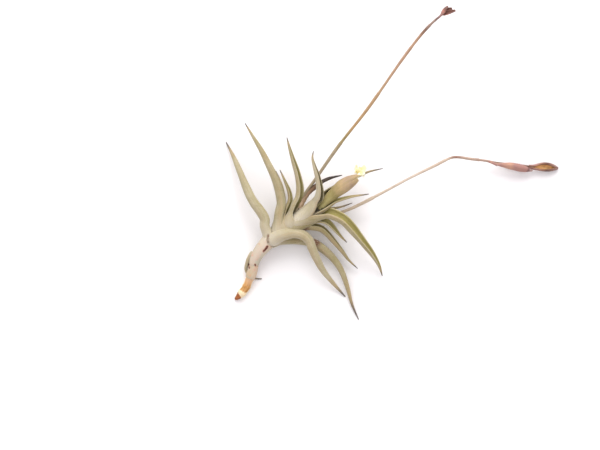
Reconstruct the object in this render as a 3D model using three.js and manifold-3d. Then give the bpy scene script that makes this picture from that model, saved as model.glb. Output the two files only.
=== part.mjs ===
// An air plant lying on its side on a table, as it was picked: a short bare stem with two ranks of
// channelled, tapering leaves, two old flower stalks with their dry seed pods, and one fresh flower spike.
//
// Millimetres, +Z up. The plant lies on the plane z = 0. Every route below is measured from the cut end
// of the stem, with x to the right and y away from the viewer who looks down on the plant. The group is
// moved at the end, so that the part's origin is on the table under the middle of the plant.

import * as THREE from "three";
import { mergeVertices } from "three/addons/utils/BufferGeometryUtils.js";
import Module from "manifold-3d";

// ---------------------------------------------------------------- driving dimensions

const MIDDLE = { x: 54.7, y: 47.2 }; // middle of the plant's outline, from the cut end of the stem
const GAP = 0.3; // clearance between neighbouring pieces
const LEAST_RADIUS = 0.01; // of a hollow that has closed up
const FULLEST_TURN = 0.97 * Math.PI; // half the angle of a section that has all but closed
const TABLE = { width: 400, depth: 20 }; // the slab under z = 0 that trims what reaches below it

const STEM = {
  route: [
    [-1.1, -1.0, 0.75],
    [0, 0, 1.1],
    [2.4, 2.7, 1.8],
    [4.0, 6.1, 2.7],
    [5.2, 9.6, 3.7],
    [6.0, 13.2, 4.8],
    [8.3, 16.9, 5.8],
    [12.0, 20.6, 6.6],
    [17.2, 24.6, 7.5],
    [24.0, 29.4, 8.7],
    [29.0, 33.2, 9.6],
    [34.5, 38.6, 10.4],
  ],
  radii: [ // [distance from the cut end, radius]
    [0, 0.45],
    [1, 0.95],
    [2.2, 1.3],
    [4, 1.45],
    [9.5, 1.42],
    [11.5, 1.1],
    [13, 0.9],
    [20, 0.9],
    [40, 0.7],
    [50, 0.5],
  ],
  sides: 10,
  stations: 38,
  scarPitch: 3.2, // between the ring scars that shed leaves left on the bare stem
  scarHeight: 0.16,
  samples: 400, // spots on its middle line that the leaves measure from
};

const LEAF = {
  thick: 0.8, // at the middle of the gutter
  rim: 0.8, // thickness of the rims, as a share of the middle
  sheathThick: 0.65,
  wrap: 85, // half the angle that a sheath spans
  sheathSpread: 0.24, // how fast a sheath widens along the stem, mm in a mm
  spreadEnd: 1.3, // a sheath stops widening this many of its lengths up the stem
  opening: [0.3, 1.5], // how far from the stem it starts and ends to open out, in sheath radii
  tipThick: 0.36,
  tipRadius: 0.19, // of the gutter's middle surface at the very tip
  taper: 2, // 1 tapers like a cone, more keeps the lower part broad
  across: 6, // flat strips across one face
  stations: 13,
};

// node: where the leaf grows from the stem, from the cut end. sheath: how far it clasps the stem.
// side and wrap: the middle of the sheath, in degrees round the stem, and half the angle that it spans.
// blade: the middle of the blade. width: at its base. curl: half the angle that its section spans.
// facing: the way the hollow looks, at the blade's base and at its tip, in degrees round the leaf's own
// direction: 0 is its left, 90 up towards the viewer, 180 its right and 270 down to the table. side is
// measured alike. The youngest leaf comes first.
const LEAVES = [
  {
    name: "leaf_inner_back",
    node: 40, sheath: 2.5, width: 2.2, curl: 100, facing: [150, 150],
    blade: [[34.4, 40.2, 8.4], [38.8, 42.8, 7.4], [43.3, 43.8, 7.8], [46.6, 44.6, 8.2], [51.4, 45.5, 8.6]],
  },
  {
    name: "leaf_inner_right",
    node: 38, sheath: 3, side: 200, wrap: 70, width: 2.6, curl: 100, facing: [60, 40], taper: 1.4,
    blade: [[33.0, 33.6, 9.8], [36.0, 34.6, 10.2], [39.8, 35.6, 10.5], [46.4, 36.5, 11.0]],
  },
  {
    name: "leaf_inner_low",
    node: 36, sheath: 3, side: 255, wrap: 50, width: 2.0, curl: 95, facing: [20, 20],
    blade: [[31.6, 31.4, 6.4], [36.3, 32.1, 5.8], [40.6, 33.4, 5.8]],
  },
  {
    name: "leaf_front",
    node: 34, sheath: 3, side: 50, wrap: 100, width: 4.8, curl: 115, facing: [148, 165], taper: 1.6,
    blade: [[27.0, 33.9, 12.0], [29.0, 37.6, 15.4], [28.5, 42.4, 17.8], [27.2, 46.4, 19.6],
      [26.5, 49.2, 20.4], [26.8, 51.6, 20.8]],
  },
  {
    name: "leaf_high_right",
    node: 32.5, sheath: 3.5, side: 165, wrap: 75, width: 5.0, curl: 112, facing: [42, 35], taper: 2.4,
    blade: [[31.2, 30.0, 10.2], [34.6, 29.2, 11.4], [37.7, 27.5, 11.7], [40.4, 24.7, 11.0], [43.1, 21.5, 9.6],
      [45.5, 18.4, 8.0], [48.0, 15.1, 6.0], [50.3, 11.0, 3.2], [51.4, 7.3, 1.0]],
  },
  {
    name: "leaf_high_left",
    node: 30.5, sheath: 3.5, side: 45, wrap: 100, width: 3.8, curl: 110, facing: [145, 158], taper: 2.4,
    blade: [[20.6, 32.2, 10.6], [22.0, 35.2, 11.4], [22.3, 38.6, 12.0], [21.6, 43.0, 12.8],
      [20.0, 48.0, 13.6], [18.4, 53.0, 14.2], [17.4, 56.5, 14.4]],
  },
  {
    name: "leaf_mid_right_2",
    node: 29, sheath: 3.5, side: 160, wrap: 80, width: 3.7, curl: 88, facing: [70, 55],
    blade: [[26.8, 27.4, 8.2], [30.0, 27.5, 9.0], [32.1, 26.6, 9.2], [33.9, 24.8, 9.0], [35.6, 22.7, 8.4],
      [37.1, 21.0, 7.8], [38.7, 19.3, 7.0]],
  },
  {
    name: "leaf_mid_left_small",
    node: 27.5, sheath: 3.5, side: 45, wrap: 100, width: 3.3, curl: 105, facing: [148, 150], taper: 1.6,
    blade: [[17.6, 30.8, 8.4], [18.8, 34.2, 8.2], [18.4, 37.4, 7.8], [16.6, 41.6, 7.0], [14.9, 45.1, 6.2]],
  },
  {
    name: "leaf_mid_right_1",
    node: 25.5, sheath: 4, side: 160, wrap: 80, width: 4.0, curl: 110, facing: [25, 10],
    blade: [[23.6, 25.4, 6.6], [26.9, 25.3, 6.6], [29.6, 24.6, 6.6], [32.1, 22.5, 6.3], [34.6, 19.6, 5.8],
      [37.3, 16.2, 4.8], [39.4, 13.3, 3.8], [42.6, 10.0, 2.2]],
  },
  {
    name: "leaf_mid_left",
    node: 25.6, sheath: 3.5, side: 35, wrap: 100, width: 4.4, curl: 112, facing: [195, 200],
    blade: [[15.0, 29.6, 8.8], [15.8, 33.0, 9.2], [15.0, 37.4, 10.0], [13.6, 41.9, 11.0], [11.3, 46.8, 11.5],
      [8.8, 51.6, 11.0], [5.7, 56.6, 9.8], [2.5, 61.7, 8.2]],
  },
  {
    name: "leaf_under_left",
    node: 23, sheath: 2.5, side: 285, width: 3.2, curl: 95, wrap: 30, facing: [110, 120],
    blade: [[14.6, 28.0, 3.6], [16.0, 33.4, 2.6], [15.4, 39.2, 1.5], [13.4, 44.8, 0.25]],
  },
  {
    name: "leaf_low_right_over",
    node: 22.6, sheath: 3, side: 115, wrap: 88, width: 3.8, curl: 115, facing: [270, 325], taper: 2.3,
    blade: [[15.4, 22.2, 8.6], [19.6, 22.7, 8.6], [22.9, 22.0, 8.2], [25.1, 20.2, 7.6], [26.6, 17.4, 6.8],
      [28.3, 13.8, 5.5], [30.3, 9.8, 3.9], [33.4, 5.5, 2.1], [38.2, -0.1, 0.25]],
  },
  {
    name: "leaf_low_left",
    node: 23.4, sheath: 2.5, side: 10, wrap: 75, width: 4.2, curl: 112, facing: [200, 210],
    blade: [[10.0, 25.2, 7.6], [10.2, 28.0, 8.0], [8.6, 31.2, 8.2], [6.9, 33.8, 8.0], [5.2, 36.8, 7.4],
      [1.7, 44.5, 5.0], [-2.0, 51.6, 1.8], [-4.4, 55.2, 0.25]],
  },
  {
    name: "leaf_low_right_under",
    node: 22.2, sheath: 2.5, side: 225, wrap: 50, width: 3.9, curl: 110, facing: [280, 340], taper: 1.8,
    blade: [[15.4, 20.3, 4.0], [18.5, 20.5, 3.8], [21.7, 20.3, 3.6], [24.8, 19.8, 3.5], [27.9, 18.6, 3.4],
      [31.2, 16.3, 3.2], [34.3, 13.2, 2.9], [36.7, 9.6, 2.5], [39.0, 3.5, 1.6], [40.7, -2.8, 0.8],
      [43.0, -8.3, 0.25]],
  },
  {
    name: "leaf_old_hooked",
    node: 12, sheath: 1, side: 300, wrap: 35, width: 2.0, curl: 80, facing: [250, 270], taper: 1.4,
    blade: [[4.5, 13.6, 4.2], [3.4, 14.0, 4.0], [2.6, 12.8, 3.4], [2.3, 10.8, 2.5], [2.7, 8.8, 1.3],
      [4.2, 7.2, 0.55], [6.3, 6.4, 0.38], [8.4, 6.3, 0.3]],
  },
];

// Papery remains of shed leaves round the stem: each starts at node and runs up the stem to a torn edge.
// narrowing: of the wrap, from its foot to its torn edge. point: how far the torn edge rises in one place,
// at a share of the way from its middle to its rim.
const TEAR = 0.2; // half the height of the torn edge's teeth
const TEETH = 3;
const DRY_STATIONS = 8;
const DRY_SHEATHS = [
  { name: "dry_sheath_upper", node: 13.2, length: 9.9, side: 32, wrap: 115, narrowing: 0.75, spread: 0.08,
    point: 3, pointAt: 0.15 },
  { name: "dry_sheath_middle", node: 12.6, length: 11.4, side: 185, wrap: 105, narrowing: 0.8, spread: 0.06,
    point: 0.8, pointAt: -0.3 },
  { name: "dry_sheath_lower", node: 9.8, length: 4.4, side: 100, wrap: 120, narrowing: 0.8, spread: 0,
    point: 0.6, pointAt: 0.1 },
];

const STALK = {
  sides: 8,
  stations: 30,
  knotRise: 0.12, // how far the swollen nodes stand out
  knotLength: 1.6,
};
const TALL_STALK = {
  name: "stalk_tall",
  route: [[20.6, 29.9, 8.7], [22.2, 33.6, 9.4], [24.0, 36.8, 10.2], [27.2, 41.3, 11.4], [35.8, 53.6, 13.8],
    [45.9, 66.5, 15.6], [58.4, 84.3, 17.0], [64.6, 92.4, 17.4], [68.5, 96.6, 17.4], [71.5, 99.2, 17.2]],
  radii: [0.58, 0.42],
  knots: [30, 52, 72, 82], // distances from the root
};
const BENT_STALK = {
  name: "stalk_bent",
  route: [[26.2, 29.8, 8.2], [30.6, 29.5, 6.2], [35.0, 29.6, 5.8], [39.1, 30.9, 6.6], [43.5, 32.9, 7.8],
    [52.3, 37.5, 10.2], [61.2, 42.3, 11.6], [70.0, 46.6, 11.8], [75.3, 49.2, 11.3], [77.6, 49.5, 10.9],
    [82.3, 48.9, 9.2], [88.0, 48.3, 5.6], [92.2, 47.6, 2.6], [97.3, 47.1, 1.2], [100.5, 46.8, 1.2],
    [103.0, 46.4, 2.2]],
  radii: [0.55, 0.36],
  knots: [24, 53, 66],
};

// The dead leaf that the tall stalk grew through: it clasps the stalk's foot and then curls away.
const WITHERED_LEAF = {
  route: [[21.4, 31.9, 9.1], [22.8, 34.8, 9.7], [24.8, 37.5, 10.5], [27.4, 39.6, 11.2], [30.2, 41.5, 11.9],
    [33.4, 42.6, 12.4], [36.9, 43.2, 12.6]],
  width: 3.0,
  taper: 3,
  curl: 105,
  facing: [20, 0],
};

// The closed pod lies against the bent stalk; the floral bract on its lower part ends in a step.
const CLOSED_POD = {
  route: [[91.6, 46.9, 4.9], [97.1, 46.2, 3.6], [101.5, 45.2, 2.9], [104.9, 44.7, 2.4]],
  profile: [[0, 0.35], [0.12, 0.65], [0.28, 1.05], [0.42, 1.38], [0.46, 1.3], [0.65, 1.45], [0.8, 1.2],
    [0.9, 0.8], [1, 0.35]], // [share of its length, radius]
  sides: 12,
  stations: 18,
  seams: 3, // where the pod will split
  furrow: 0.08, // depth of the seams, as a share of the radius
};

// The open pod has split from the tip into three valves, which are still joined at its foot.
const OPEN_POD = {
  route: [[103.4, 46.3, 2.5], [105.2, 46.1, 2.3], [108.8, 46.2, 1.9], [111.6, 46.0, 1.5], [114.0, 45.7, 0.9]],
  profile: [[0, 0.35], [0.15, 0.55], [0.5, 1.35], [0.62, 1.4], [0.85, 0.8], [1, 0.3]],
  valves: [270, 8, 172], // where they stand round the pod
  curl: [[0, 66], [0.15, 62], [0.4, 52], [1, 38]],
  thick: 0.6,
  stations: 8,
  across: 3,
};

// The pod at the end of the tall stalk has split into three pointed lobes, joined at its foot.
const TALL_POD = {
  foot: [[71.75, 99.5, 17.2], [72.4, 100.2, 17.2], [73.1, 100.8, 17.2]],
  footRadius: 0.5,
  lobes: [
    { route: [[72.3, 99.9, 17.2], [73.2, 101.2, 17.5], [74.2, 102.5, 17.8]], facing: 215 },
    { route: [[72.3, 99.9, 17.2], [74.3, 100.6, 17.1], [76.8, 101.2, 16.9]], facing: 60 },
    { route: [[72.3, 99.8, 16.9], [73.7, 101.2, 16.6], [75.6, 101.9, 16.4]], facing: 90 },
  ],
  lobeRadius: [0.2, 0.7], // at the point, and where a lobe is broadest
  lobeStart: 0.25, // where a lobe begins on the half wave that gives its width
  curl: 85,
  thick: 0.6,
  stations: 6,
  across: 4,
};

// The fresh spike: two bracts that face each other, with the flower's tube between them.
const SPIKE = {
  route: [[29.9, 33.9, 9.7], [33.2, 37.8, 10.4], [37.0, 40.8, 10.9], [40.4, 42.4, 11.1], [43.1, 43.3, 11.1]],
  profile: [[0, 1.3], [0.3, 1.6], [0.58, 2.05], [0.78, 1.7], [1, 0.62]],
  bracts: [
    { name: "bract_upper", facing: 183, curl: 84, start: 0, end: 1 },
    { name: "bract_lower", facing: 8, curl: 84, start: 0.06, end: 0.93 },
  ],
  thick: 0.62,
  routePoints: 5, // along each bract
  stations: 10,
  across: 6,
  tipCurl: 0.45, // of the curl, left at the tip
};
const FLOWER = {
  tube: [[37.2, 40.9, 10.9], [40.4, 42.4, 11.1], [43.2, 43.9, 11.2]],
  tubeRadius: 0.6,
  tubeStations: 6,
  petals: [
    [[42.4, 43.5, 11.2], [43.0, 44.7, 12.0], [42.2, 45.4, 12.5], [41.1, 45.5, 12.2]],
    [[42.4, 43.5, 11.2], [43.9, 44.1, 11.9], [45.0, 43.7, 12.1], [45.6, 43.0, 11.6]],
    [[42.4, 43.5, 11.2], [43.9, 44.8, 11.2], [44.7, 46.0, 10.8], [44.8, 46.9, 10.2]],
  ],
  petalRadius: [0.66, 1.27], // of a petal's hollow, at its ends and in its middle
  petalCurl: [55, 28], // half the angle that a petal spans, at its foot and at its tip
  petalThick: 0.6,
  petalStations: 7,
  petalAcross: 4,
  cup: 2.4, // the petals' hollows look at a spot this far in front of the tube
};

// ---------------------------------------------------------------- small helpers

const wasm = await Module();
wasm.setup();

const { clamp, degToRad, lerp, radToDeg, smoothstep } = THREE.MathUtils;
const UP = new THREE.Vector3(0, 0, 1);
const curveThrough = (points) =>
  new THREE.CatmullRomCurve3(points.map((p) => new THREE.Vector3(...p)), false, "centripetal");

// The value at x of a line through [x, value] pairs.
function along(pairs, x) {
  const next = pairs.findIndex(([at]) => at > x);
  if (next === 0) return pairs[0][1];
  if (next < 0) return pairs[pairs.length - 1][1];
  const [[x0, v0], [x1, v1]] = [pairs[next - 1], pairs[next]];
  return lerp(v0, v1, (x - x0) / (x1 - x0));
}

// Left of a direction, and the way that is up from it.
function frameOf(tangent) {
  const left = UP.clone().cross(tangent).normalize();
  return { left, up: tangent.clone().cross(left).normalize() };
}

// Unit vector at an angle round a direction: 0 is its left, 90 upwards, 180 its right.
function around(tangent, degrees) {
  const { left, up } = frameOf(tangent);
  const angle = degToRad(degrees);
  return left.multiplyScalar(Math.cos(angle)).addScaledVector(up, Math.sin(angle));
}

// A closed surface through rings of points. Each ring's first half faces its second half, point to point,
// so the ends are closed with strips across it, and both halves are split into triangles alike.
function loft(rings) {
  const count = rings[0].length;
  const index = [];
  const quad = (a, b, c, d) => index.push(a, b, c, a, c, d);
  for (let i = 0; i + 1 < rings.length; i++) {
    for (let j = 0; j < count; j++) {
      const [a, b] = [i * count + j, i * count + ((j + 1) % count)];
      if (j < count / 2) quad(a, b, b + count, a + count);
      else quad(b, b + count, a + count, a);
    }
  }
  const last = (rings.length - 1) * count;
  for (let j = 0; j + 1 < count / 2; j++) {
    const k = count - 1 - j;
    quad(j, k, k - 1, j + 1);
    quad(last + j, last + j + 1, last + k - 1, last + k);
  }
  const positions = rings.flat().flatMap((p) => p.toArray());
  return new THREE.BufferGeometry()
    .setAttribute("position", new THREE.Float32BufferAttribute(positions, 3))
    .setIndex(index);
}

function solidOf(geometry) {
  const bare = new THREE.BufferGeometry()
    .setAttribute("position", geometry.getAttribute("position"))
    .setIndex(geometry.index);
  const merged = mergeVertices(bare, 1e-4);
  const mesh = new wasm.Mesh({
    numProp: 3,
    vertProperties: new Float32Array(merged.attributes.position.array),
    triVerts: new Uint32Array(merged.index.array),
  });
  return new wasm.Manifold(mesh);
}

function geometryOf(solid) {
  const mesh = solid.getMesh();
  const positions = new THREE.BufferAttribute(new Float32Array(mesh.vertProperties), 3);
  const geometry = new THREE.BufferGeometry().setAttribute("position", positions);
  geometry.setIndex(new THREE.BufferAttribute(new Uint32Array(mesh.triVerts), 1));
  geometry.computeVertexNormals();
  return geometry;
}

// The largest body of a solid: a cut can leave loose scraps.
const largest = (solid) => solid.decompose().reduce((a, b) => (b.volume() > a.volume() ? b : a));

const slab = new THREE.BoxGeometry(TABLE.width, TABLE.width, TABLE.depth);
const belowTable = solidOf(slab.translate(0, 0, -TABLE.depth / 2));

// A round rod along a curve. radiusAt gives its radius at a share of its length and at an angle round it.
function rod(curve, stations, sides, radiusAt, grow) {
  const rings = [];
  for (let i = 0; i <= stations; i++) {
    const share = i / stations;
    const tangent = curve.getTangentAt(share);
    const centre = curve.getPointAt(share);
    if (i === 0) centre.addScaledVector(tangent, -grow);
    if (i === stations) centre.addScaledVector(tangent, grow);
    const ring = [];
    for (let j = 0; j < sides; j++) {
      const angle = (360 * (j + 0.5)) / sides;
      ring.push(centre.clone().addScaledVector(around(tangent, angle), radiusAt(share, angle) + grow));
    }
    rings.push(ring);
  }
  return solidOf(loft(rings));
}

// A gutter swept along a route. At each share of the route, radius is that of the middle surface, curl
// half the angle it spans, thick its thickness at the middle, and facing the way its hollow looks. lean
// shifts a point along the route, by its share of the way from the middle to the rim.
function gutter({ curve, stations, across, radius, curl, thick, facing, lean = () => 0 }, grow) {
  const rings = [];
  for (let i = 0; i <= stations; i++) {
    const share = i / stations;
    const tangent = curve.getTangentAt(share);
    const centre = curve.getPointAt(share);
    if (i === 0) centre.addScaledVector(tangent, -grow);
    if (i === stations) centre.addScaledVector(tangent, grow);
    const back = around(tangent, facing(share)).negate();
    const side = tangent.clone().cross(back);
    const reach = Math.min(degToRad(curl(share)) + grow / radius(share), FULLEST_TURN);
    const outer = [];
    const inner = [];
    for (let j = 0; j <= across; j++) {
      const turn = lerp(-reach, reach, j / across);
      const half = (thick(share) / 2) * lerp(1, LEAF.rim, (turn / reach) ** 2) + grow;
      const way = back.clone().multiplyScalar(Math.cos(turn)).addScaledVector(side, Math.sin(turn));
      const spot = centre.clone().addScaledVector(tangent, lean(share, turn / reach));
      outer.push(spot.clone().addScaledVector(way, radius(share) + half));
      inner.unshift(spot.addScaledVector(way, Math.max(radius(share) - half, LEAST_RADIUS)));
    }
    rings.push([...outer, ...inner]);
  }
  return solidOf(loft(rings));
}

// ---------------------------------------------------------------- the stem

const stemCurve = curveThrough(STEM.route);
const stemLength = stemCurve.getLength();
const stemRadius = (distance) => along(STEM.radii, distance);
const onStem = (distance) => stemCurve.getPointAt(clamp(distance / stemLength, 0, 1));
const stemSamples = Array.from({ length: STEM.samples + 1 }, (_, i) => {
  const distance = (stemLength * i) / STEM.samples;
  return { distance, point: onStem(distance) };
});

// The spot of the stem's middle line that is nearest to a point, and how far away it is.
function nearestOnStem(point) {
  let best = { away: Infinity };
  for (const { distance, point: spot } of stemSamples) {
    const away = spot.distanceTo(point);
    if (away < best.away) best = { distance, away, spot };
  }
  return best;
}

function stem(grow) {
  return rod(stemCurve, STEM.stations, STEM.sides, (share) => {
    const distance = share * stemLength;
    const scar = STEM.scarHeight * Math.max(0, Math.cos((2 * Math.PI * distance) / STEM.scarPitch)) ** 2;
    return stemRadius(distance) + scar;
  }, grow);
}

// ---------------------------------------------------------------- leaves

// A leaf starts as a sheath round the stem and then leaves it as a tapering, channelled blade. Where it
// leaves, its section stays outside the circle that the younger leaves fill.
function leaf(spec, grow) {
  const root = [0, 0.5, 1].map((share) => onStem(spec.node + share * spec.sheath).toArray());
  const curve = curveThrough([...root, ...spec.blade]);
  const length = curve.getLength();
  const first = new THREE.Vector3(...spec.blade[0]);
  const { spot, distance } = nearestOnStem(first);
  const { left, up } = frameOf(stemCurve.getTangentAt(distance / stemLength));
  const outwards = first.clone().sub(spot);
  const side = spec.side ?? radToDeg(Math.atan2(outwards.dot(up), outwards.dot(left)));
  const inwards = side + 180;
  const [atBlade, atTip] = spec.facing;
  const turn = ((((atBlade - inwards + 180) % 360) + 360) % 360) - 180;

  const clasp = (share) => {
    const near = nearestOnStem(curve.getPointAt(share));
    const clear = stemRadius(spec.node) + GAP + LEAF.sheathThick / 2;
    const up = clamp(near.distance - spec.node, 0, LEAF.spreadEnd * spec.sheath);
    const hold = clear + LEAF.sheathSpread * up;
    const open = smoothstep(near.away, ...LEAF.opening.map((radii) => radii * hold));
    return { round: Math.sqrt(Math.max(hold ** 2 - near.away ** 2, 0)), open };
  };
  const start = spec.sheath / length;
  const size = (share) => 1 - clamp((share - start) / (1 - start), 0, 1) ** (spec.taper ?? LEAF.taper);
  const bladeRadius = (share) => lerp(LEAF.tipRadius, (spec.width - LEAF.thick) / 2, size(share));
  const bladeThick = (share) => lerp(LEAF.tipThick, LEAF.thick, Math.sqrt(size(share)));
  return gutter({
    curve,
    stations: LEAF.stations,
    across: LEAF.across,
    radius: (share) => Math.max(bladeRadius(share) * clasp(share).open, clasp(share).round, LEAF.tipRadius),
    curl: (share) => lerp(spec.wrap ?? LEAF.wrap, spec.curl, clasp(share).open),
    thick: (share) => lerp(LEAF.sheathThick, bladeThick(share), clasp(share).open),
    facing: (share) => inwards + turn * clasp(share).open + (atTip - atBlade) * share,
  }, grow);
}

function drySheath({ node, length, side, wrap, narrowing, spread, point, pointAt }, grow) {
  const spots = [0, 0.25, 0.5, 0.75, 1].map((share) => onStem(node + share * length).toArray());
  return gutter({
    curve: curveThrough(spots),
    stations: DRY_STATIONS,
    across: LEAF.across,
    radius: (share) => stemRadius(node) + GAP + LEAF.sheathThick / 2 + spread * length * share,
    curl: (share) => wrap * lerp(1, narrowing, share),
    thick: () => LEAF.sheathThick,
    facing: () => side + 180,
    lean: (share, turn) => {
      const teeth = TEAR * Math.cos(TEETH * Math.PI * turn);
      return share ** 3 * (teeth + point * Math.max(0, 1 - Math.abs(turn - pointAt)));
    },
  }, grow);
}

function witheredLeaf(grow) {
  const { route, width, taper, curl, facing } = WITHERED_LEAF;
  const size = (share) => 1 - share ** taper;
  return gutter({
    curve: curveThrough(route),
    stations: LEAF.stations,
    across: LEAF.across,
    radius: (share) => lerp(LEAF.tipRadius, (width - LEAF.sheathThick) / 2, size(share)),
    curl: () => curl,
    thick: (share) => lerp(LEAF.tipThick, LEAF.sheathThick, Math.sqrt(size(share))),
    facing: (share) => lerp(...facing, share),
  }, grow);
}

// ---------------------------------------------------------------- flower stalks, pods and the flower

function stalk({ route, radii, knots }, grow) {
  const curve = curveThrough(route);
  const length = curve.getLength();
  return rod(curve, STALK.stations, STALK.sides, (share) => {
    const rise = (knot) => Math.max(0, 1 - Math.abs(share * length - knot) / STALK.knotLength);
    return lerp(radii[0], radii[1], share) + STALK.knotRise * Math.max(...knots.map(rise));
  }, grow);
}

function closedPod(grow) {
  const { route, profile, stations, sides, seams, furrow } = CLOSED_POD;
  return rod(curveThrough(route), stations, sides, (share, angle) => {
    const seam = Math.max(0, Math.cos(degToRad(angle * seams)));
    return along(profile, share) * (1 - furrow * seam);
  }, grow);
}

function openPod(grow) {
  const { route, profile, valves, curl, thick, stations, across } = OPEN_POD;
  const valve = (angle) => gutter({
    curve: curveThrough(route),
    stations,
    across,
    radius: (share) => along(profile, share),
    curl: (share) => along(curl, share),
    thick: () => thick,
    facing: () => angle + 180,
  }, grow);
  return valves.map(valve).reduce((a, b) => a.add(b));
}

function tallPod(grow) {
  const { foot, footRadius, lobes, lobeRadius, lobeStart, curl, thick, stations, across } = TALL_POD;
  const lobe = ({ route, facing }) => gutter({
    curve: curveThrough(route),
    stations,
    across,
    radius: (share) => lerp(...lobeRadius, Math.sin(Math.PI * lerp(lobeStart, 1, share))),
    curl: () => curl,
    thick: () => thick,
    facing: () => facing,
  }, grow);
  const start = rod(curveThrough(foot), foot.length - 1, STALK.sides, () => footRadius, grow);
  return lobes.map(lobe).reduce((a, b) => a.add(b), start);
}

function spikeBract({ facing, curl, start, end }, grow) {
  const { profile, thick, routePoints, stations, across, tipCurl } = SPIKE;
  const whole = curveThrough(SPIKE.route);
  const pointAt = (share) => whole.getPointAt(lerp(start, end, share)).toArray();
  const part = Array.from({ length: routePoints }, (_, i) => pointAt(i / (routePoints - 1)));
  return gutter({
    curve: curveThrough(part),
    stations,
    across,
    radius: (share) => along(profile, lerp(start, end, share)),
    curl: (share) => curl * lerp(1, tipCurl, share ** 4),
    thick: () => thick,
    facing: () => facing,
  }, grow);
}

function flower(grow) {
  const { petals, petalRadius, petalCurl, petalThick, petalStations, petalAcross } = FLOWER;
  const { tubeRadius, tubeStations, cup } = FLOWER;
  const tube = curveThrough(FLOWER.tube);
  const heart = tube.getPointAt(1).addScaledVector(tube.getTangentAt(1), cup);
  const petal = (route) => {
    const curve = curveThrough(route);
    return gutter({
      curve,
      stations: petalStations,
      across: petalAcross,
      radius: (share) => lerp(...petalRadius, Math.sin(Math.PI * share)),
      curl: (share) => lerp(...petalCurl, share ** 3),
      thick: () => petalThick,
      facing: (share) => {
        const { left, up } = frameOf(curve.getTangentAt(share));
        const inwards = heart.clone().sub(curve.getPointAt(share));
        return radToDeg(Math.atan2(inwards.dot(up), inwards.dot(left)));
      },
    }, grow);
  };
  const throat = rod(tube, tubeStations, STALK.sides, () => tubeRadius, grow);
  return petals.map(petal).reduce((a, b) => a.add(b), throat);
}

// ---------------------------------------------------------------- putting the pieces together

const material = (color, roughness) => new THREE.MeshStandardMaterial({ color, roughness, metalness: 0 });
const FINISH = {
  stem: material(0xb98a55, 0.8),
  leaf: material(0xaaa88a, 0.7),
  dry: material(0xc9bda8, 0.85),
  stalk: material(0xa98c66, 0.7),
  petal: material(0xf0e69a, 0.6),
  bract: material(0xb0a070, 0.65),
  withered: material(0x5a453a, 0.8),
  pod: material(0x9c7468, 0.7),
};

// Pieces are placed from the inside of the plant outwards: each is trimmed clear of those before it.
const placed = [];
function place(name, build, finish) {
  let solid = build(0).subtract(belowTable);
  for (const { grown } of placed) solid = solid.subtract(grown);
  solid = largest(solid);
  placed.push({ name, solid, grown: build(GAP), finish });
}

place("stem", stem, FINISH.stem);
place(TALL_STALK.name, (grow) => stalk(TALL_STALK, grow), FINISH.stalk);
place(BENT_STALK.name, (grow) => stalk(BENT_STALK, grow), FINISH.stalk);
place("flower", flower, FINISH.petal);
for (const spec of SPIKE.bracts) place(spec.name, (grow) => spikeBract(spec, grow), FINISH.bract);
for (const spec of LEAVES) place(spec.name, (grow) => leaf(spec, grow), FINISH.leaf);
place("withered_leaf", witheredLeaf, FINISH.withered);
for (const spec of DRY_SHEATHS) place(spec.name, (grow) => drySheath(spec, grow), FINISH.dry);
place("pod_closed", closedPod, FINISH.pod);
place("pod_open", openPod, FINISH.pod);
place("pod_tall", tallPod, FINISH.pod);

const plant = new THREE.Group();
for (const { name, solid, finish } of placed) {
  const mesh = new THREE.Mesh(geometryOf(solid), finish);
  mesh.name = name;
  plant.add(mesh);
}
plant.position.set(-MIDDLE.x, -MIDDLE.y, 0);

export default plant;
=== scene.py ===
"""An air plant lying on its side on a pale table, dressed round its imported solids.

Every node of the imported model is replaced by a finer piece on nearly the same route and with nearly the
same section. Sizes in the tables below are millimetres from the cut end of the stem, x to the right and y
away from the viewer who looks down on the plant. Meshes are in metres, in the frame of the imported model.
"""

import math
import random

import bpy
import numpy as np
from bpy.props import FloatProperty, FloatVectorProperty, IntProperty, PointerProperty
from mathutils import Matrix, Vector, noise


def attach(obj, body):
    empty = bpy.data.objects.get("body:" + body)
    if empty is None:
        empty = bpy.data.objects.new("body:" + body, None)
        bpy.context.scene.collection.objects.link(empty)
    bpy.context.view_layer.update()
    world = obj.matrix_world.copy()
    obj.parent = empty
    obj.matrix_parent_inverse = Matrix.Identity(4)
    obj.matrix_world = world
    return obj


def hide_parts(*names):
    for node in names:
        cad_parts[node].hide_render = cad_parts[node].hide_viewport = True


bl_info = {
    "name": "Air Plant",
    "version": (1, 0, 0),
    "blender": (4, 5, 0),
    "location": "3D View > Sidebar > Air Plant",
    "description": "Dresses the solids of an air plant that lies on its side",
    "category": "Add Mesh",
}

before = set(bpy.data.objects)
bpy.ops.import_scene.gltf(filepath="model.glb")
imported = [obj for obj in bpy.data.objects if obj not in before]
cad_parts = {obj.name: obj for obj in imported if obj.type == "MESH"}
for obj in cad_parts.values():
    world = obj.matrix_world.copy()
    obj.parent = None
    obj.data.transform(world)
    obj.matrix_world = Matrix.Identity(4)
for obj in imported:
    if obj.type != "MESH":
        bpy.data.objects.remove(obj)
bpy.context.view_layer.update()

MM = 0.001
MIDDLE = np.array([54.7, 47.2, 0.0])  # middle of the plant's outline, from the cut end of the stem
UP = np.array([0.0, 0.0, 1.0])
TABLE_CLEARANCE = 0.01  # lowest point of a piece above the table

# ---------------------------------------------------------------- routes and sections

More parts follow.
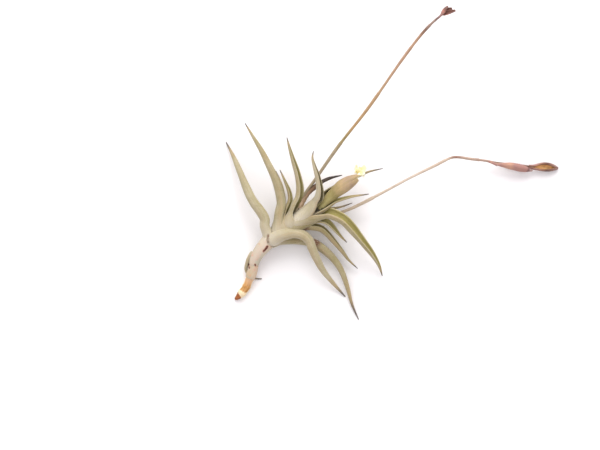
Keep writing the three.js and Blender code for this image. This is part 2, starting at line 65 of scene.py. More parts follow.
# route: of the middle line. radii: (distance along the stem, radius).
STEM = {
    "route": [
        (-1.1, -1.0, 0.75), (0, 0, 1.1), (2.4, 2.7, 1.8), (4.0, 6.1, 2.7), (5.2, 9.6, 3.7),
        (6.0, 13.2, 4.8), (8.3, 16.9, 5.8), (12.0, 20.6, 6.6), (17.2, 24.6, 7.5), (24.0, 29.4, 8.7),
        (29.0, 33.2, 9.6), (34.5, 38.6, 10.4),
    ],
    "radii": [(0, 0.45), (1, 0.95), (2.2, 1.3), (4, 1.45), (9.5, 1.42), (11.5, 1.1), (13, 0.9),
              (20, 0.9), (40, 0.7), (50, 0.5)],
}

# node: where the leaf grows from the stem. sheath: how far it clasps the stem. side and wrap: the middle of
# the sheath, in degrees round the stem, and half the angle it spans. width: of the blade at its base. curl:
# half the angle that its section spans. facing: the way the hollow looks, at the blade's base and tip.
# taper: 1 tapers like a cone, more keeps the lower part broad. blade: points of its middle line. felt: 1 is
# silvery, 0 green. inner: how much light is painted into its hollow, 1 a brightly lit inside, 0 an inside
# in painted shade. dry: length of the dry tip. bruise: where a brown spot is painted; on
# leaf_low_right_under it is dry tissue partly in painted shade, on leaf_mid_right_1 a painted shadow line.
LEAVES = {
    "leaf_inner_back": {
        "node": 40, "sheath": 2.5, "width": 2.2, "curl": 100, "facing": (150, 150),
        "felt": 0.3, "inner": 0.5, "dry": 5.0,
        "blade": [(35.2, 38.6, 8.4), (39.8, 41.2, 7.4), (43.6, 43.0, 7.8), (46.6, 44.3, 8.2),
                  (51.4, 45.5, 8.6)],
    },
    "leaf_inner_right": {
        "node": 38, "sheath": 3, "side": 200, "wrap": 70, "width": 2.6, "curl": 100, "facing": (60, 40),
        "taper": 1.4, "felt": 0.5, "inner": 0.9, "dry": 4.0,
        "blade": [(33.0, 33.6, 9.8), (36.0, 34.6, 10.2), (39.8, 35.6, 10.5), (46.4, 36.5, 11.0)],
    },
    "leaf_inner_low": {
        "node": 36, "sheath": 3, "side": 255, "wrap": 50, "width": 2.0, "curl": 95, "facing": (20, 20),
        "felt": 0.4, "inner": 0.4, "dry": 4.0,
        "blade": [(31.6, 31.4, 6.4), (36.3, 32.1, 5.8), (40.6, 33.4, 5.8)],
    },
    "leaf_front": {
        "node": 34, "sheath": 3, "side": 50, "wrap": 100, "width": 5.0, "curl": 115, "facing": (148, 165),
        "taper": 1.6, "felt": 0.95, "inner": 0.1, "dry": 2.0,
        "blade": [(28.0, 33.3, 12.0), (29.3, 37.2, 15.2), (28.5, 42.4, 17.8), (27.2, 46.4, 19.6),
                  (26.5, 49.2, 20.4), (26.8, 51.6, 20.8)],
    },
    "leaf_high_right": {
        "node": 32.5, "sheath": 3.5, "side": 160, "wrap": 80, "width": 5.0, "curl": 112, "facing": (42, 35),
        "taper": 2.4, "felt": 0.55, "inner": 1.0, "dry": 2.5,
        "blade": [(31.2, 30.0, 10.2), (34.6, 29.2, 11.4), (37.7, 27.5, 11.7), (40.4, 24.7, 11.0),
                  (43.1, 21.5, 9.6), (45.5, 18.4, 8.0), (48.0, 15.1, 6.0), (50.3, 11.0, 3.2),
                  (51.4, 7.3, 1.0)],
    },
    "leaf_high_left": {
        "node": 30.5, "sheath": 3.5, "side": 45, "wrap": 100, "width": 3.8, "curl": 110,
        "facing": (145, 158), "taper": 2.4, "felt": 0.6, "inner": 0.5, "dry": 2.0,
        "blade": [(20.6, 32.2, 10.6), (22.0, 35.2, 11.4), (22.3, 38.6, 12.0), (21.6, 43.0, 12.8),
                  (20.0, 48.0, 13.6), (18.4, 53.0, 14.2), (17.4, 56.5, 14.4)],
    },
    "leaf_mid_right_2": {
        "node": 29, "sheath": 3.5, "side": 160, "wrap": 80, "width": 3.7, "curl": 88, "facing": (70, 55),
        "felt": 0.35, "inner": 0.75, "dry": 2.0,
        "blade": [(26.8, 27.4, 8.2), (30.0, 27.5, 9.0), (32.1, 26.6, 9.2), (33.9, 24.8, 9.0),
                  (35.6, 22.7, 8.4), (37.1, 21.0, 7.8), (38.7, 19.3, 7.0)],
    },
    "leaf_mid_left_small": {
        "node": 27.5, "sheath": 3.5, "side": 45, "wrap": 100, "width": 3.3, "curl": 105,
        "facing": (148, 150), "taper": 1.6, "felt": 0.45, "inner": 0.6, "dry": 2.0,
        "blade": [(17.6, 30.8, 8.4), (18.8, 34.2, 8.2), (18.4, 37.4, 7.8), (16.6, 41.6, 7.0),
                  (14.9, 45.1, 6.2)],
    },
    "leaf_mid_right_1": {
        "node": 25.5, "sheath": 4, "side": 160, "wrap": 80, "width": 4.0, "curl": 110, "facing": (25, 10),
        # Its brown spot is painted shadow: the dark line along its lower edge, above the arch of
        # leaf_low_right_over.
        "felt": 0.4, "inner": 0.5, "dry": 3.0, "bruise_and_shade": (23.4, 23.9, 8.2),
        "blade": [(23.6, 25.4, 6.6), (26.9, 25.3, 6.6), (29.6, 24.6, 6.6), (32.1, 22.5, 6.3),
                  (34.6, 19.6, 5.8), (37.3, 16.2, 4.8), (39.4, 13.3, 3.8), (42.6, 10.0, 2.2)],
    },
    "leaf_mid_left": {
        "node": 25.6, "sheath": 3.5, "side": 35, "wrap": 100, "width": 4.4, "curl": 112,
        "facing": (195, 200), "felt": 0.6, "inner": 0.5, "dry": 2.5,
        "blade": [(15.0, 29.6, 8.8), (15.8, 33.0, 9.2), (15.0, 37.4, 10.0), (13.6, 41.9, 11.0),
                  (11.3, 46.8, 11.5), (8.8, 51.6, 11.0), (5.7, 56.6, 9.8), (2.5, 61.7, 8.2)],
    },
    "leaf_under_left": {
        "node": 23, "sheath": 2.5, "side": 285, "width": 3.2, "curl": 95, "wrap": 30, "facing": (110, 120),
        "felt": 0.5, "inner": 0.3, "dry": 4.0,
        "blade": [(14.6, 28.0, 3.6), (16.0, 33.4, 2.6), (15.4, 39.2, 1.5), (13.4, 44.8, 0.25)],
    },
    "leaf_low_right_over": {
        "node": 22.6, "sheath": 3, "side": 115, "wrap": 88, "width": 3.8, "curl": 115,
        "facing": (270, 325), "taper": 2.3, "felt": 0.8, "inner": 0.4, "dry": 5.0,
        "blade": [(15.4, 22.2, 8.6), (19.6, 22.7, 8.6), (22.9, 22.0, 8.2), (25.1, 20.2, 7.6),
                  (26.3, 17.4, 6.8), (27.9, 13.8, 5.5), (30.0, 9.8, 3.9), (33.3, 5.5, 2.1),
                  (38.2, -0.1, 0.25)],
    },
    "leaf_low_left": {
        "node": 23.4, "sheath": 2.5, "side": 10, "wrap": 75, "width": 4.6, "curl": 112,
        "facing": (200, 210), "felt": 0.7, "inner": 0.4, "dry": 4.0,
        "blade": [(10.0, 25.2, 7.6), (9.9, 27.8, 8.0), (8.1, 30.9, 8.2), (6.1, 33.5, 8.0),
                  (4.3, 36.6, 7.4), (1.0, 44.2, 5.0), (-2.2, 51.2, 1.8), (-4.4, 55.2, 0.25)],
    },
    "leaf_low_right_under": {
        "node": 22.2, "sheath": 2.5, "side": 225, "wrap": 50, "width": 3.9, "curl": 110,
        "facing": (280, 340), "taper": 1.8, "felt": 0.55, "inner": 0.3, "dry": 9.0,
        # Its brown spot is dry tissue, partly painted shade where it passes under leaf_low_right_over.
        "bruise_and_shade": (27.6, 19.6, 5.2),
        "blade": [(15.4, 20.3, 4.0), (18.5, 20.5, 3.8), (21.7, 20.3, 3.6), (24.8, 19.8, 3.5),
                  (27.9, 18.6, 3.4), (31.2, 16.3, 3.2), (34.3, 13.2, 2.9), (36.7, 9.6, 2.5),
                  (39.0, 3.5, 1.6), (40.7, -2.8, 0.8), (43.0, -8.3, 0.25)],
    },
    "leaf_old_hooked": {
        "node": 12, "sheath": 1, "side": 300, "wrap": 35, "width": 2.1, "curl": 80, "facing": (250, 270),
        "taper": 1.4, "felt": 0.8, "inner": 0.3, "dry": 3.0,
        "blade": [(5.8, 14.6, 4.2), (5.1, 15.8, 4.2), (4.0, 14.3, 3.9), (3.1, 11.8, 3.0), (2.8, 9.4, 1.8),
                  (4.2, 7.2, 0.55), (6.3, 6.4, 0.38), (8.4, 6.3, 0.3)],
    },
}
WRAP = 85  # of a leaf that gives none
TAPER = 2  # likewise
SNUG = 0.25  # the middle of a sheath's wall above the stem, where it grows from it
SNUG_LENGTH = 1.5  # along this length a sheath comes free of the stem
SHEATH_ROOM = 0.375  # how far it then stands off, besides its spread
SHEATH_SPREAD = 0.24  # how fast a sheath widens along the stem, mm in a mm
SPREAD_END = 1.3  # a sheath stops widening this many of its lengths up the stem
OPENING = (0.3, 1.5)  # how far from the stem it starts and ends to open out, in sheath radii
UNEVEN_PITCH = 0.16  # turns of a blade's uneven growth in a millimetre
# Of a leaf's brown spot: on one leaf a painted shadow line, on the other dry tissue partly in painted
# shade.
BRUISE_AND_SHADE_RADIUS = 1.6
FADE_END = 1.6  # a brown mark, a bruised spot, a crack or a painted shadow line, fades out at this many of its radii

# radius: of its channel at the tip and at the foot. twist and crumple: how far its facing and its radius
# wander.
WITHERED = {
    "route": [(21.4, 31.9, 9.1), (22.8, 34.8, 9.7), (24.8, 37.5, 10.5), (27.4, 39.6, 11.2),
              (30.2, 41.5, 11.9), (33.4, 42.6, 12.4), (36.9, 43.2, 12.6)],
    "radius": (0.06, 1.175), "curl": 105, "facing": (20, 0), "tip_wall": 0.08, "twist": 14, "crumple": 0.16,
}

# Papery remains of shed leaves: each starts at node and runs up the stem to a torn edge. side and wrap are
# as for a leaf's sheath. narrowing: of the wrap, from the foot to the torn edge. spread: how fast it
# widens, mm in a mm. point and point_at: how far the edge rises, and where across it. tear: how ragged
# the edge is. rusty: 1 is weathered like the bark.
DRY_SHEATHS = {
    "dry_sheath_upper": {"node": 13.2, "length": 9.9, "side": 32, "wrap": 115, "narrowing": 0.75,
                         "spread": 0.124, "point": 3.0, "point_at": 0.15, "tear": 0.5, "rusty": 0.0},
    "dry_sheath_middle": {"node": 12.6, "length": 11.4, "side": 185, "wrap": 105, "narrowing": 0.8,
                          "spread": 0.096, "point": 0.8, "point_at": -0.3, "tear": 0.3, "rusty": 0.0},
    "dry_sheath_lower": {"node": 9.8, "length": 4.4, "side": 100, "wrap": 120, "narrowing": 0.8,
                         "spread": -0.04, "point": 0.6, "point_at": 0.1, "tear": 1.2, "rusty": 0.35},
}
DRY_ROOM = 0.17  # between the stem and a dry sheath, so that it clears the ring scars
DRY_FOOT = 0.25  # share of its length along which it thickens
# Dark marks in them: both ends as (x, y), and half the width. The first two, along the rim of one sheath
# where it laps the next, are partly cracks and partly painted shadow; the last two are cracks by the lower
# sheath's torn edge.
CRACKS_AND_SHADOW_LINES = [
    ((10.7, 22.0), (10.7, 19.4), 0.3), ((9.1, 16.1), (10.3, 17.8), 0.4), ((3.8, 11.5), (4.0, 10.3), 0.3),
    ((6.0, 11.5), (6.1, 11.1), 0.3),
]

# radii: at the foot and the tip. knots: where a bract's sheath ends, in mm along the stalk. join: how the
# route goes on into the pod.
STALKS = {
    "stalk_tall": {
        "route": [(20.6, 29.9, 8.7), (22.2, 33.6, 9.4), (24.0, 36.8, 10.2), (27.2, 41.3, 11.4),
                  (35.8, 53.6, 13.8), (45.9, 66.5, 15.6), (58.4, 84.3, 17.0), (64.6, 92.4, 17.4),
                  (68.5, 96.6, 17.4), (71.5, 99.2, 17.2)],
        "radii": (0.58, 0.42), "knots": (30, 52, 72, 82), "join": [(72.2, 100.0, 17.2)],
    },
    "stalk_bent": {
        "route": [(26.2, 29.8, 8.2), (30.6, 29.5, 6.2), (35.0, 29.6, 5.8), (39.1, 30.9, 6.6),
                  (43.5, 32.9, 7.8), (52.3, 37.5, 10.2), (61.2, 42.3, 11.6), (70.0, 46.6, 11.8),
                  (75.3, 49.2, 11.3), (77.6, 49.5, 10.9), (82.3, 48.9, 9.2), (88.0, 48.3, 5.6),
                  (92.2, 47.6, 2.6), (97.3, 47.1, 1.2), (100.5, 46.8, 1.2), (103.0, 46.4, 2.2)],
        "radii": (0.55, 0.36), "knots": (24, 53, 66), "join": [(104.0, 46.3, 2.4)],
    },
}
BRACT_RISE = 0.12  # a stalk's sheathing bracts thicken it below each knot
BRACT_LENGTH = 14
KNOT_PAST = 0.3  # how far past its knot a bract's sheath ends
KNOT_FALL = 0.5  # length along which it thins out to its end

# profile: (share of its length, radius). seams: between the valves, furrow deep. ribs: all round, rib high,
# weaker on the foot. Both heights are shares of the radius.
CLOSED_POD = {
    "route": [(91.6, 47.1, 4.9), (97.1, 46.5, 3.6), (101.5, 45.6, 2.9), (104.7, 44.9, 2.4)],
    "profile": [(0, 0.35), (0.12, 0.65), (0.28, 1.05), (0.42, 1.38), (0.46, 1.3), (0.65, 1.45),
                (0.8, 1.2), (0.9, 0.8), (1, 0.35)],
    "pedicel": [(88.8, 48.2, 5.0), (90.2, 47.7, 4.7), (92.2, 46.8, 4.75)],
    "pedicel_radius": (0.42, 0.5),
    "seams": 3, "furrow": 0.08, "ribs": 15, "rib": 0.03, "smooth_foot": 0.45,
}
# valves: where each lies round the route, the lowest first. The lowest is shallower and evenly curled.
OPEN_POD = {
    "route": [(103.4, 46.3, 2.5), (105.2, 46.1, 2.3), (108.8, 46.2, 1.9), (111.6, 46.0, 1.5),
              (114.0, 45.7, 0.9)],
    "profile": [(0, 0.35), (0.15, 0.6), (0.35, 1.1), (0.55, 1.4), (0.7, 1.3), (0.85, 0.85), (0.96, 0.4),
                (1, 0.12)],
    "valves": (270, 8, 172), "curl": [(0, 78), (0.15, 70), (0.35, 38), (0.6, 34), (0.75, 62), (1, 80)],
    "low_depth": 0.7, "low_curl": 85,
}
# lobes: the points of each one's route, and the way its hollow looks. lobe_radius: at a lobe's tip and its
# widest spot. lobe_start: how far along a whole spindle's swelling a lobe starts.
TALL_POD = {
    "foot": [(71.75, 99.5, 17.2), (72.4, 100.2, 17.2), (73.1, 100.8, 17.2)],
    "foot_radius": 0.5,
    "lobes": [
        ([(72.3, 99.9, 17.2), (73.2, 101.2, 17.5), (74.2, 102.5, 17.8)], 215),
        ([(72.3, 99.9, 17.2), (74.3, 100.6, 17.1), (76.8, 101.2, 16.9)], 60),
        ([(72.3, 99.8, 16.9), (73.7, 101.2, 16.6), (75.6, 101.9, 16.4)], 90),
    ],
    "lobe_radius": (0.2, 0.7), "lobe_start": 0.25, "curl": 85,
}
SPIKE = {
    "route": [(29.0, 31.0, 9.5), (30.8, 33.4, 9.9), (34.1, 36.8, 10.4), (37.8, 39.7, 10.9),
              (41.0, 41.6, 11.1), (43.3, 43.0, 11.1)],
    "profile": [(0, 0.4), (0.14, 0.7), (0.28, 1.3), (0.41, 1.6), (0.64, 2.25), (0.81, 1.8), (1, 0.5)],
    # The way each hollow looks, the shares of the spike it runs between, and how far it stands off the
    # profile.
    "bracts": {"bract_upper": (183, 0, 1, 0.1), "bract_lower": (8, 0.06, 0.93, 0.22)},
    "closing": [(0, 120), (0.3, 95), (0.6, 100), (1, 88)],  # half the angle spanned, along a bract
    "bud": (0.3, 0.9), "bud_radius": (0.8, 0.6),
}
FLOWER = {
    "tube": [(38.0, 39.9, 10.9), (41.0, 41.7, 11.1), (43.2, 43.6, 11.2)],
    "tube_radius": 0.6,
    "petals": [
        [(42.4, 43.5, 11.2), (43.0, 44.7, 12.0), (42.2, 45.4, 12.5), (41.1, 45.5, 12.2)],
        [(42.4, 43.5, 11.2), (43.6, 44.1, 11.9), (44.5, 44.2, 12.2), (45.2, 43.9, 11.9)],
        [(42.4, 43.5, 11.2), (43.9, 44.8, 11.2), (44.7, 46.0, 10.8), (44.8, 46.9, 10.2)],
    ],
    "cup": 2.4, "lift": 3.0,  # the petals look at a spot this far ahead of the tube's mouth and above it
    "blade_radius": [(0, 0.6), (0.3, 1.2), (0.6, 2.0), (0.85, 1.6), (0.95, 0.9), (1, 0.3)],
    "blade_curl": [(0, 62), (0.4, 52), (0.7, 44), (1, 40)],
}


# ---------------------------------------------------------------- small helpers

def lerp(a, b, share):
    return a + (b - a) * share


def clamp(x, low=0.0, high=1.0):
    return max(low, min(high, x))


def smoothstep(x, low, high):
    share = clamp((x - low) / (high - low))
    return share * share * (3 - 2 * share)


def along(pairs, x):
    """The value at x of a line through (x, value) pairs."""
    return float(np.interp(x, [p[0] for p in pairs], [p[1] for p in pairs]))


def smoothly(pairs, x, reach=0.07):
    """The same with its corners rounded off: the mean over a reach to both sides of a share x."""
    reach = min(reach, x, 1 - x)
    return float(np.mean([along(pairs, x + offset) for offset in np.linspace(-reach, reach, 9)]))


def wave(*parts):
    """A smooth noise from -1 to 1 at a spot given by up to three numbers."""
    off_grid = 0.37  # the noise is always 0 where all three are whole
    return noise.noise(Vector(list(parts) + [off_grid] * (3 - len(parts))))


def srgb(red, green, blue):
    """A linear colour from the 0 to 255 values of a screen."""
    def linear(value):
        share = value / 255
        return share / 12.92 if share <= 0.04045 else ((share + 0.055) / 1.055) ** 2.4
    return (linear(red), linear(green), linear(blue), 1.0)


def around(tangent, degrees):
    """Unit vector at an angle round a direction: 0 is its left, 90 upwards, 180 its right."""
    left = np.cross(UP, tangent)
    left /= np.linalg.norm(left)
    up = np.cross(tangent, left)
    angle = math.radians(degrees)
    return left * math.cos(angle) + up * math.sin(angle)


def angle_round(tangent, direction):
    """The angle, as around() takes it, at which a direction stands."""
    return math.degrees(math.atan2(direction @ around(tangent, 90), direction @ around(tangent, 0)))


class Route:
    """A smooth line through points, a centripetal spline, measured by the share of its length."""

    STEPS = 60  # samples between two points
    REACH = 0.004  # how far to each side a tangent is taken, as a share

    def __init__(self, points):
        p = np.array(points, float)
        p = np.vstack([2 * p[0] - p[1], p, 2 * p[-1] - p[-2]])
        step = np.linalg.norm(np.diff(p, axis=0), axis=1) ** 0.5
        samples = []
        for i in range(1, len(p) - 2):
            before, here, after = step[i - 1], step[i], step[i + 1]
            start = ((p[i] - p[i - 1]) / before - (p[i + 1] - p[i - 1]) / (before + here)
                     + (p[i + 1] - p[i]) / here) * here
            end = ((p[i + 1] - p[i]) / here - (p[i + 2] - p[i]) / (here + after)
                   + (p[i + 2] - p[i + 1]) / after) * here
            t = np.linspace(0, 1, self.STEPS, endpoint=False)[:, None]
            samples.append(p[i] + start * t + (3 * (p[i + 1] - p[i]) - 2 * start - end) * t ** 2
                           + (2 * (p[i] - p[i + 1]) + start + end) * t ** 3)
        self.samples = np.vstack(samples + [p[-2:-1]])
        lengths = np.linalg.norm(np.diff(self.samples, axis=0), axis=1)
        self.marks = np.concatenate([[0], np.cumsum(lengths)])
        self.length = self.marks[-1]

    def at(self, share):
        return np.array([np.interp(share * self.length, self.marks, self.samples[:, k]) for k in range(3)])

    def part(self, start, end):
        """The stretch between two shares."""
        return Route([self.at(lerp(start, end, share)) for share in np.linspace(0, 1, 5)])

    def tangent(self, share):
        way = self.at(clamp(share + self.REACH)) - self.at(clamp(share - self.REACH))
        return way / np.linalg.norm(way)


STEM_ROUTE = Route(STEM["route"])


def stem_radius(distance):
    return along(STEM["radii"], distance)


def nearest_on_stem(point):
    """(distance along the stem, how far away) of the spot of its middle line nearest to a point."""
    away = np.linalg.norm(STEM_ROUTE.samples - point, axis=1)
    nearest = int(away.argmin())
    return STEM_ROUTE.marks[nearest], away[nearest]


CAP_ANGLES = [math.radians(a) for a in (86, 70, 50, 30, 12)]  # rings that close the end of a shaft
CAP_BULGE = 0.35  # how far an end bulges, in radii
RIM_START = 0.86  # from this share of a gutter's half width on, its rim is rounded off
RIM_HALF = 0.012  # half the thickness left at the very rim
MOST_CURL = 0.97 * math.pi  # so that the rims of a gutter don't meet
INNER_RIB = 0.5  # height of the ribs' trace in the hollow, as a share of the rib
LEAST_RADIUS = 0.01  # of a gutter's hollow


def placed(name, data):
    """A new object in the scene."""
    made = bpy.data.objects.new(name, data)
    bpy.context.scene.collection.objects.link(made)
    return made


def piece_of(name, mesh, slot, *nodes):
    """A piece of the plant that stands for the given nodes. Replaced nodes keep their names, so it needs a
    name of its own."""
    piece = placed(name, mesh)
    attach(piece, "root")
    if nodes:
        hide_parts(*nodes)
    return piece


class Shell:
    """Points, faces and per-point values of a piece, gathered ring by ring. The values are run, the share
    of the route's length at a point; inside, 1 in a hollow or on a shaft's end; across, from -1 to 1 over
    a gutter or round a shaft; and length, the route's own in millimetres."""

    def __init__(self):
        self.points, self.faces, self.values = [], [], {}

    def loft(self, rings, values):
        """Adds a closed surface through rings of points. A ring's first half faces its second half, point
        to point. values holds, for each name, a number for each point of each ring."""
        base, count = len(self.points), len(rings[0])
        for ring in rings:
            self.points.extend(ring)
        for name, numbers in values.items():
            self.values.setdefault(name, []).extend(np.ravel(numbers))
        for i in range(len(rings) - 1):
            a, b = base + i * count, base + (i + 1) * count
            for j in range(count):
                k = (j + 1) % count
                self.faces.append((a + j, a + k, b + k, b + j))
        last = base + (len(rings) - 1) * count
        for j in range(count // 2 - 1):
            k = count - 1 - j
            self.faces.append((base + j, base + k, base + k - 1, base + j + 1))
            self.faces.append((last + j, last + j + 1, last + k - 1, last + k))

    def fill(self, name, number):
        """Gives every point gathered so far the same value."""
        self.values[name] = [number] * len(self.points)

    def piece(self, name, material, slot, *nodes):
        """The gathered surface as a smooth piece that stands for the given nodes."""
        mesh = bpy.data.meshes.new(name)
        points = (np.array(self.points) - MIDDLE) * MM
        points[:, 2] = np.maximum(points[:, 2], TABLE_CLEARANCE * MM)
        mesh.from_pydata(points.tolist(), [], self.faces)
        for value, numbers in self.values.items():
            attribute = mesh.attributes.new(value, "FLOAT", "POINT")
            attribute.data.foreach_set("value", np.array(numbers, np.float32))
        mesh.validate()
        mesh.shade_smooth()
        mesh.materials.append(material)
        return piece_of(name, mesh, slot, *nodes)


def gutter(shell, route, stations, across, radius, curl, thick, facing, rim=0.8, lean=None, ribs=0.0,
           ribs_across=0):
    """Adds a gutter swept along a route. At each share of the route, radius is that of the middle surface,
    curl half the angle it spans, thick its thickness at the middle, and facing the way its hollow looks.
    rim is the thickness by the rims as a share, and the rims are rounded off. lean shifts a point along the
    route. The outside has ribs_across ribs, and ribs is their height."""
    rings, run, side, width = [], [], [], []
    turns = np.sin(np.linspace(-1, 1, across + 1) * math.pi / 2)
    for i in range(stations + 1):
        share = i / stations
        tangent, centre = route.tangent(share), route.at(share)
        back = -around(tangent, facing(share))
        sideways = np.cross(tangent, back)
        reach = min(math.radians(curl(share)), MOST_CURL)
        r, half = radius(share), thick(share) / 2
        outer, inner = [], []
        for turn in turns:
            edge = clamp((abs(turn) - RIM_START) / (1 - RIM_START))
            body = half * lerp(1, rim, turn ** 2) * math.sqrt(max(1 - edge ** 2, 0.0)) + RIM_HALF
            way = back * math.cos(turn * reach) + sideways * math.sin(turn * reach)
            spot = centre + (tangent * lean(share, turn) if lean else 0)
            rib = ribs * math.cos(turn * ribs_across * math.pi) * (1 - edge)
            outer.append(spot + way * (r + body + rib))
            inner.insert(0, spot + way * max(r - body + rib * INNER_RIB, LEAST_RADIUS))
        rings.append(outer + inner)
        run.append([share] * (2 * len(turns)))
        side.append([0.0] * len(turns) + [1.0] * len(turns))
        width.append(list(turns) + list(turns[::-1]))
    values = {"run": run, "inside": side, "across": width, "length": np.full(np.shape(run), route.length)}
    shell.loft(rings, values)


def shaft(shell, route, stations, sides, radius_at, lean=None):
    """Adds a shaft along a route, with rounded ends. radius_at gives its radius at a share of its length
    and an angle, and lean how far that point is shifted along the route."""
    turns = [360 * (j + 0.5) / sides for j in range(sides)]
    spots = [(i / stations, 1.0, 0.0) for i in range(stations + 1)]
    before = [(0.0, math.cos(a), -math.sin(a)) for a in CAP_ANGLES]
    after = [(1.0, math.cos(a), math.sin(a)) for a in reversed(CAP_ANGLES)]
    rings, run, ends = [], [], []
    for share, size, cap in before + spots + after:
        tangent, centre = route.tangent(share), route.at(share)
        ring = []
        for turn in turns:
            radius = radius_at(share, turn)
            ahead = cap * radius * CAP_BULGE + (lean(share, turn) if lean else 0)
            ring.append(centre + around(tangent, turn) * radius * size + tangent * ahead)
        rings.append(ring)
        run.append([share] * sides)
        ends.append([1 - size] * sides)
    across = np.tile(np.array(turns) / 180 - 1, (len(rings), 1))
    shell.loft(rings, {"run": run, "inside": ends, "across": across,
                       "length": np.full(np.shape(run), route.length)})


# ---------------------------------------------------------------- materials

def add_node(tree, kind, settings=None, sockets=None):
    """Adds a node to a tree: its settings first, then the values or links of its sockets."""
    made = tree.nodes.new(kind)
    for name, value in (settings or {}).items():
        setattr(made, name, value)
    for name, value in (sockets or {}).items():
        source = getattr(value, "socket", value)
        if isinstance(source, bpy.types.NodeSocket):
            tree.links.new(source, made.inputs[name])
        else:
            made.inputs[name].default_value = value
    return made


class Value:
    """A number, colour or vector of a material, to be used in expressions."""

    def __init__(self, look, socket):
        self.look, self.socket = look, socket

    def __add__(self, other):
        return self.look.maths("ADD", self, other)

    __radd__ = __add__

    def __sub__(self, other):
        return self.look.maths("SUBTRACT", self, other)

    def __rsub__(self, other):
        return self.look.maths("SUBTRACT", other, self)

    def __mul__(self, other):
        return self.look.maths("MULTIPLY", self, other)

    __rmul__ = __mul__

    def __truediv__(self, other):
        return self.look.maths("DIVIDE", self, other)


class Look:
    """A material that is being built."""

    GRAIN_ROUGHNESS = 0.55

    def __init__(self, name):
        self.material = bpy.data.materials.new(name)
        self.material.use_nodes = True
        self.tree = self.material.node_tree
        self.tree.nodes.clear()

    def node(self, kind, settings=None, sockets=None, output=0):
        made = add_node(self.tree, kind, settings, sockets)
        return Value(self, made.outputs[output]) if made.outputs else made

    def ramp(self, stops, share):
        """A colour that changes along (share, colour) stops."""
        made = add_node(self.tree, "ShaderNodeValToRGB", {}, {0: share})
        elements = made.color_ramp.elements
        while len(elements) < len(stops):
            elements.new(1.0)
        for element, (position, shade) in zip(elements, stops):
            element.position, element.color = position, shade
        return Value(self, made.outputs[0])

    def maths(self, operation, *values):
        return self.node("ShaderNodeMath", {"operation": operation}, dict(enumerate(values)))

    def mix(self, share, a, b, blend="MIX"):
        settings = {"data_type": "RGBA", "blend_type": blend, "clamp_factor": True}
        return self.node("ShaderNodeMix", settings, {0: share, 6: a, 7: b}, output=2)

    def step(self, value, low, high, smallest=0.0, largest=1.0):
        """A smooth rise from smallest to largest as value goes from low to high."""
        return self.node("ShaderNodeMapRange", {"interpolation_type": "SMOOTHSTEP"},
                         {0: value, 1: low, 2: high, 3: smallest, 4: largest})

    def stored(self, name):
        """A piece's own value at each point."""
        return self.node("ShaderNodeAttribute", {"attribute_name": name}, output=2)

    def all_stored(self, *names):
        return [self.stored(name) for name in names]

    def place(self):
        return self.node("ShaderNodeTexCoord", output=3)

    def vector(self, x, y, z):
        return self.node("ShaderNodeCombineXYZ", {}, {0: x, 1: y, 2: z})

    def grain(self, scale, detail=3.0, at=None):
        """A noise between 0 and 1 with scale cells in a metre, or at a vector."""
        sockets = {"Vector": at or self.place(), "Scale": scale, "Detail": detail,
                   "Roughness": self.GRAIN_ROUGHNESS}
        return self.node("ShaderNodeTexNoise", {}, sockets)

    def bump(self, height, distance, strength):
        """Small relief from a height between 0 and 1, which stands for a distance in millimetres."""
        sockets = {"Height": height, "Distance": distance * MM, "Strength": strength}
        return self.node("ShaderNodeBump", {}, sockets)

    def finish(self, colour, roughness, normal=None, **constants):
        """Ends the material in its shader; constants are set on the shader's own sockets."""
        sockets = {"Base Color": colour, "Roughness": roughness}
        if normal is not None:
            sockets["Normal"] = normal
        sockets.update({name.replace("_", " "): value for name, value in constants.items()})
        shader = self.node("ShaderNodeBsdfPrincipled", {}, sockets)
        self.node("ShaderNodeOutputMaterial", {}, {"Surface": shader})
        return self.material


def light_through(weight, reach, scale):
    """The shader's sockets for light that spreads under the skin, scale millimetres at most."""
    return {"Subsurface_Weight": weight, "Subsurface_Radius": reach, "Subsurface_Scale": scale * MM}


def streaks(look, fineness, stretch, seed=0.0):
    """Noise drawn out along a blade: fineness counts across it, stretch per millimetre of its length."""
    across, run, length = look.all_stored("across", "run", "length")
    spot = look.vector(across * fineness, run * length * stretch, seed)
    return look.grain(1.0, detail=2.0, at=spot)


def leaf_outside(look, settings, patches, speckle, stripes):
    """The outside of a blade: green skin under a silvery felt, weathered in long bands."""
    cover = look.stored("felt") * 0.8 + patches * 0.5 + speckle * 0.35 + stripes * 0.6 - 0.85
    outside = look.mix(look.step(cover, 0.0, 0.9), settings.green, settings.silver)
    bands = streaks(look, 1.7, 0.02, look.stored("seed"))
    tinge = look.step(look.grain(110.0) * 0.4 + bands * 0.8 + stripes * 0.25, 0.6, 0.95, 0.0, 0.85)
    outside = look.mix(tinge, outside, settings.tan)
    return look.mix(look.step(bands, 0.48, 0.3, 0.0, 0.35), outside, settings.green)


def leaf_hollow(look, settings, speckle, stripes, from_root):
    """The hollow of a blade: olive, painted from shaded to lit as its inner value gives, darkened by
    painted shade by its foot, and faintly streaked with felt.
    """
    # Painted light and shade: inner mixes each leaf's hollow from the olive in shade to the lit olive.
    hollow = look.mix(look.stored("inner"), settings.shade, settings.bright)
    streaked = look.step(speckle * 0.6 + stripes * 0.7, 0.5, 0.9, 0.0, 0.2)
    hollow = look.mix(streaked, hollow, settings.silver)
    # Painted shade: the hollow darkens towards the leaf's foot, deep in the rosette.
    return look.mix(look.step(from_root, 16.0, 5.0, 0.0, 0.75), hollow, settings.throat)


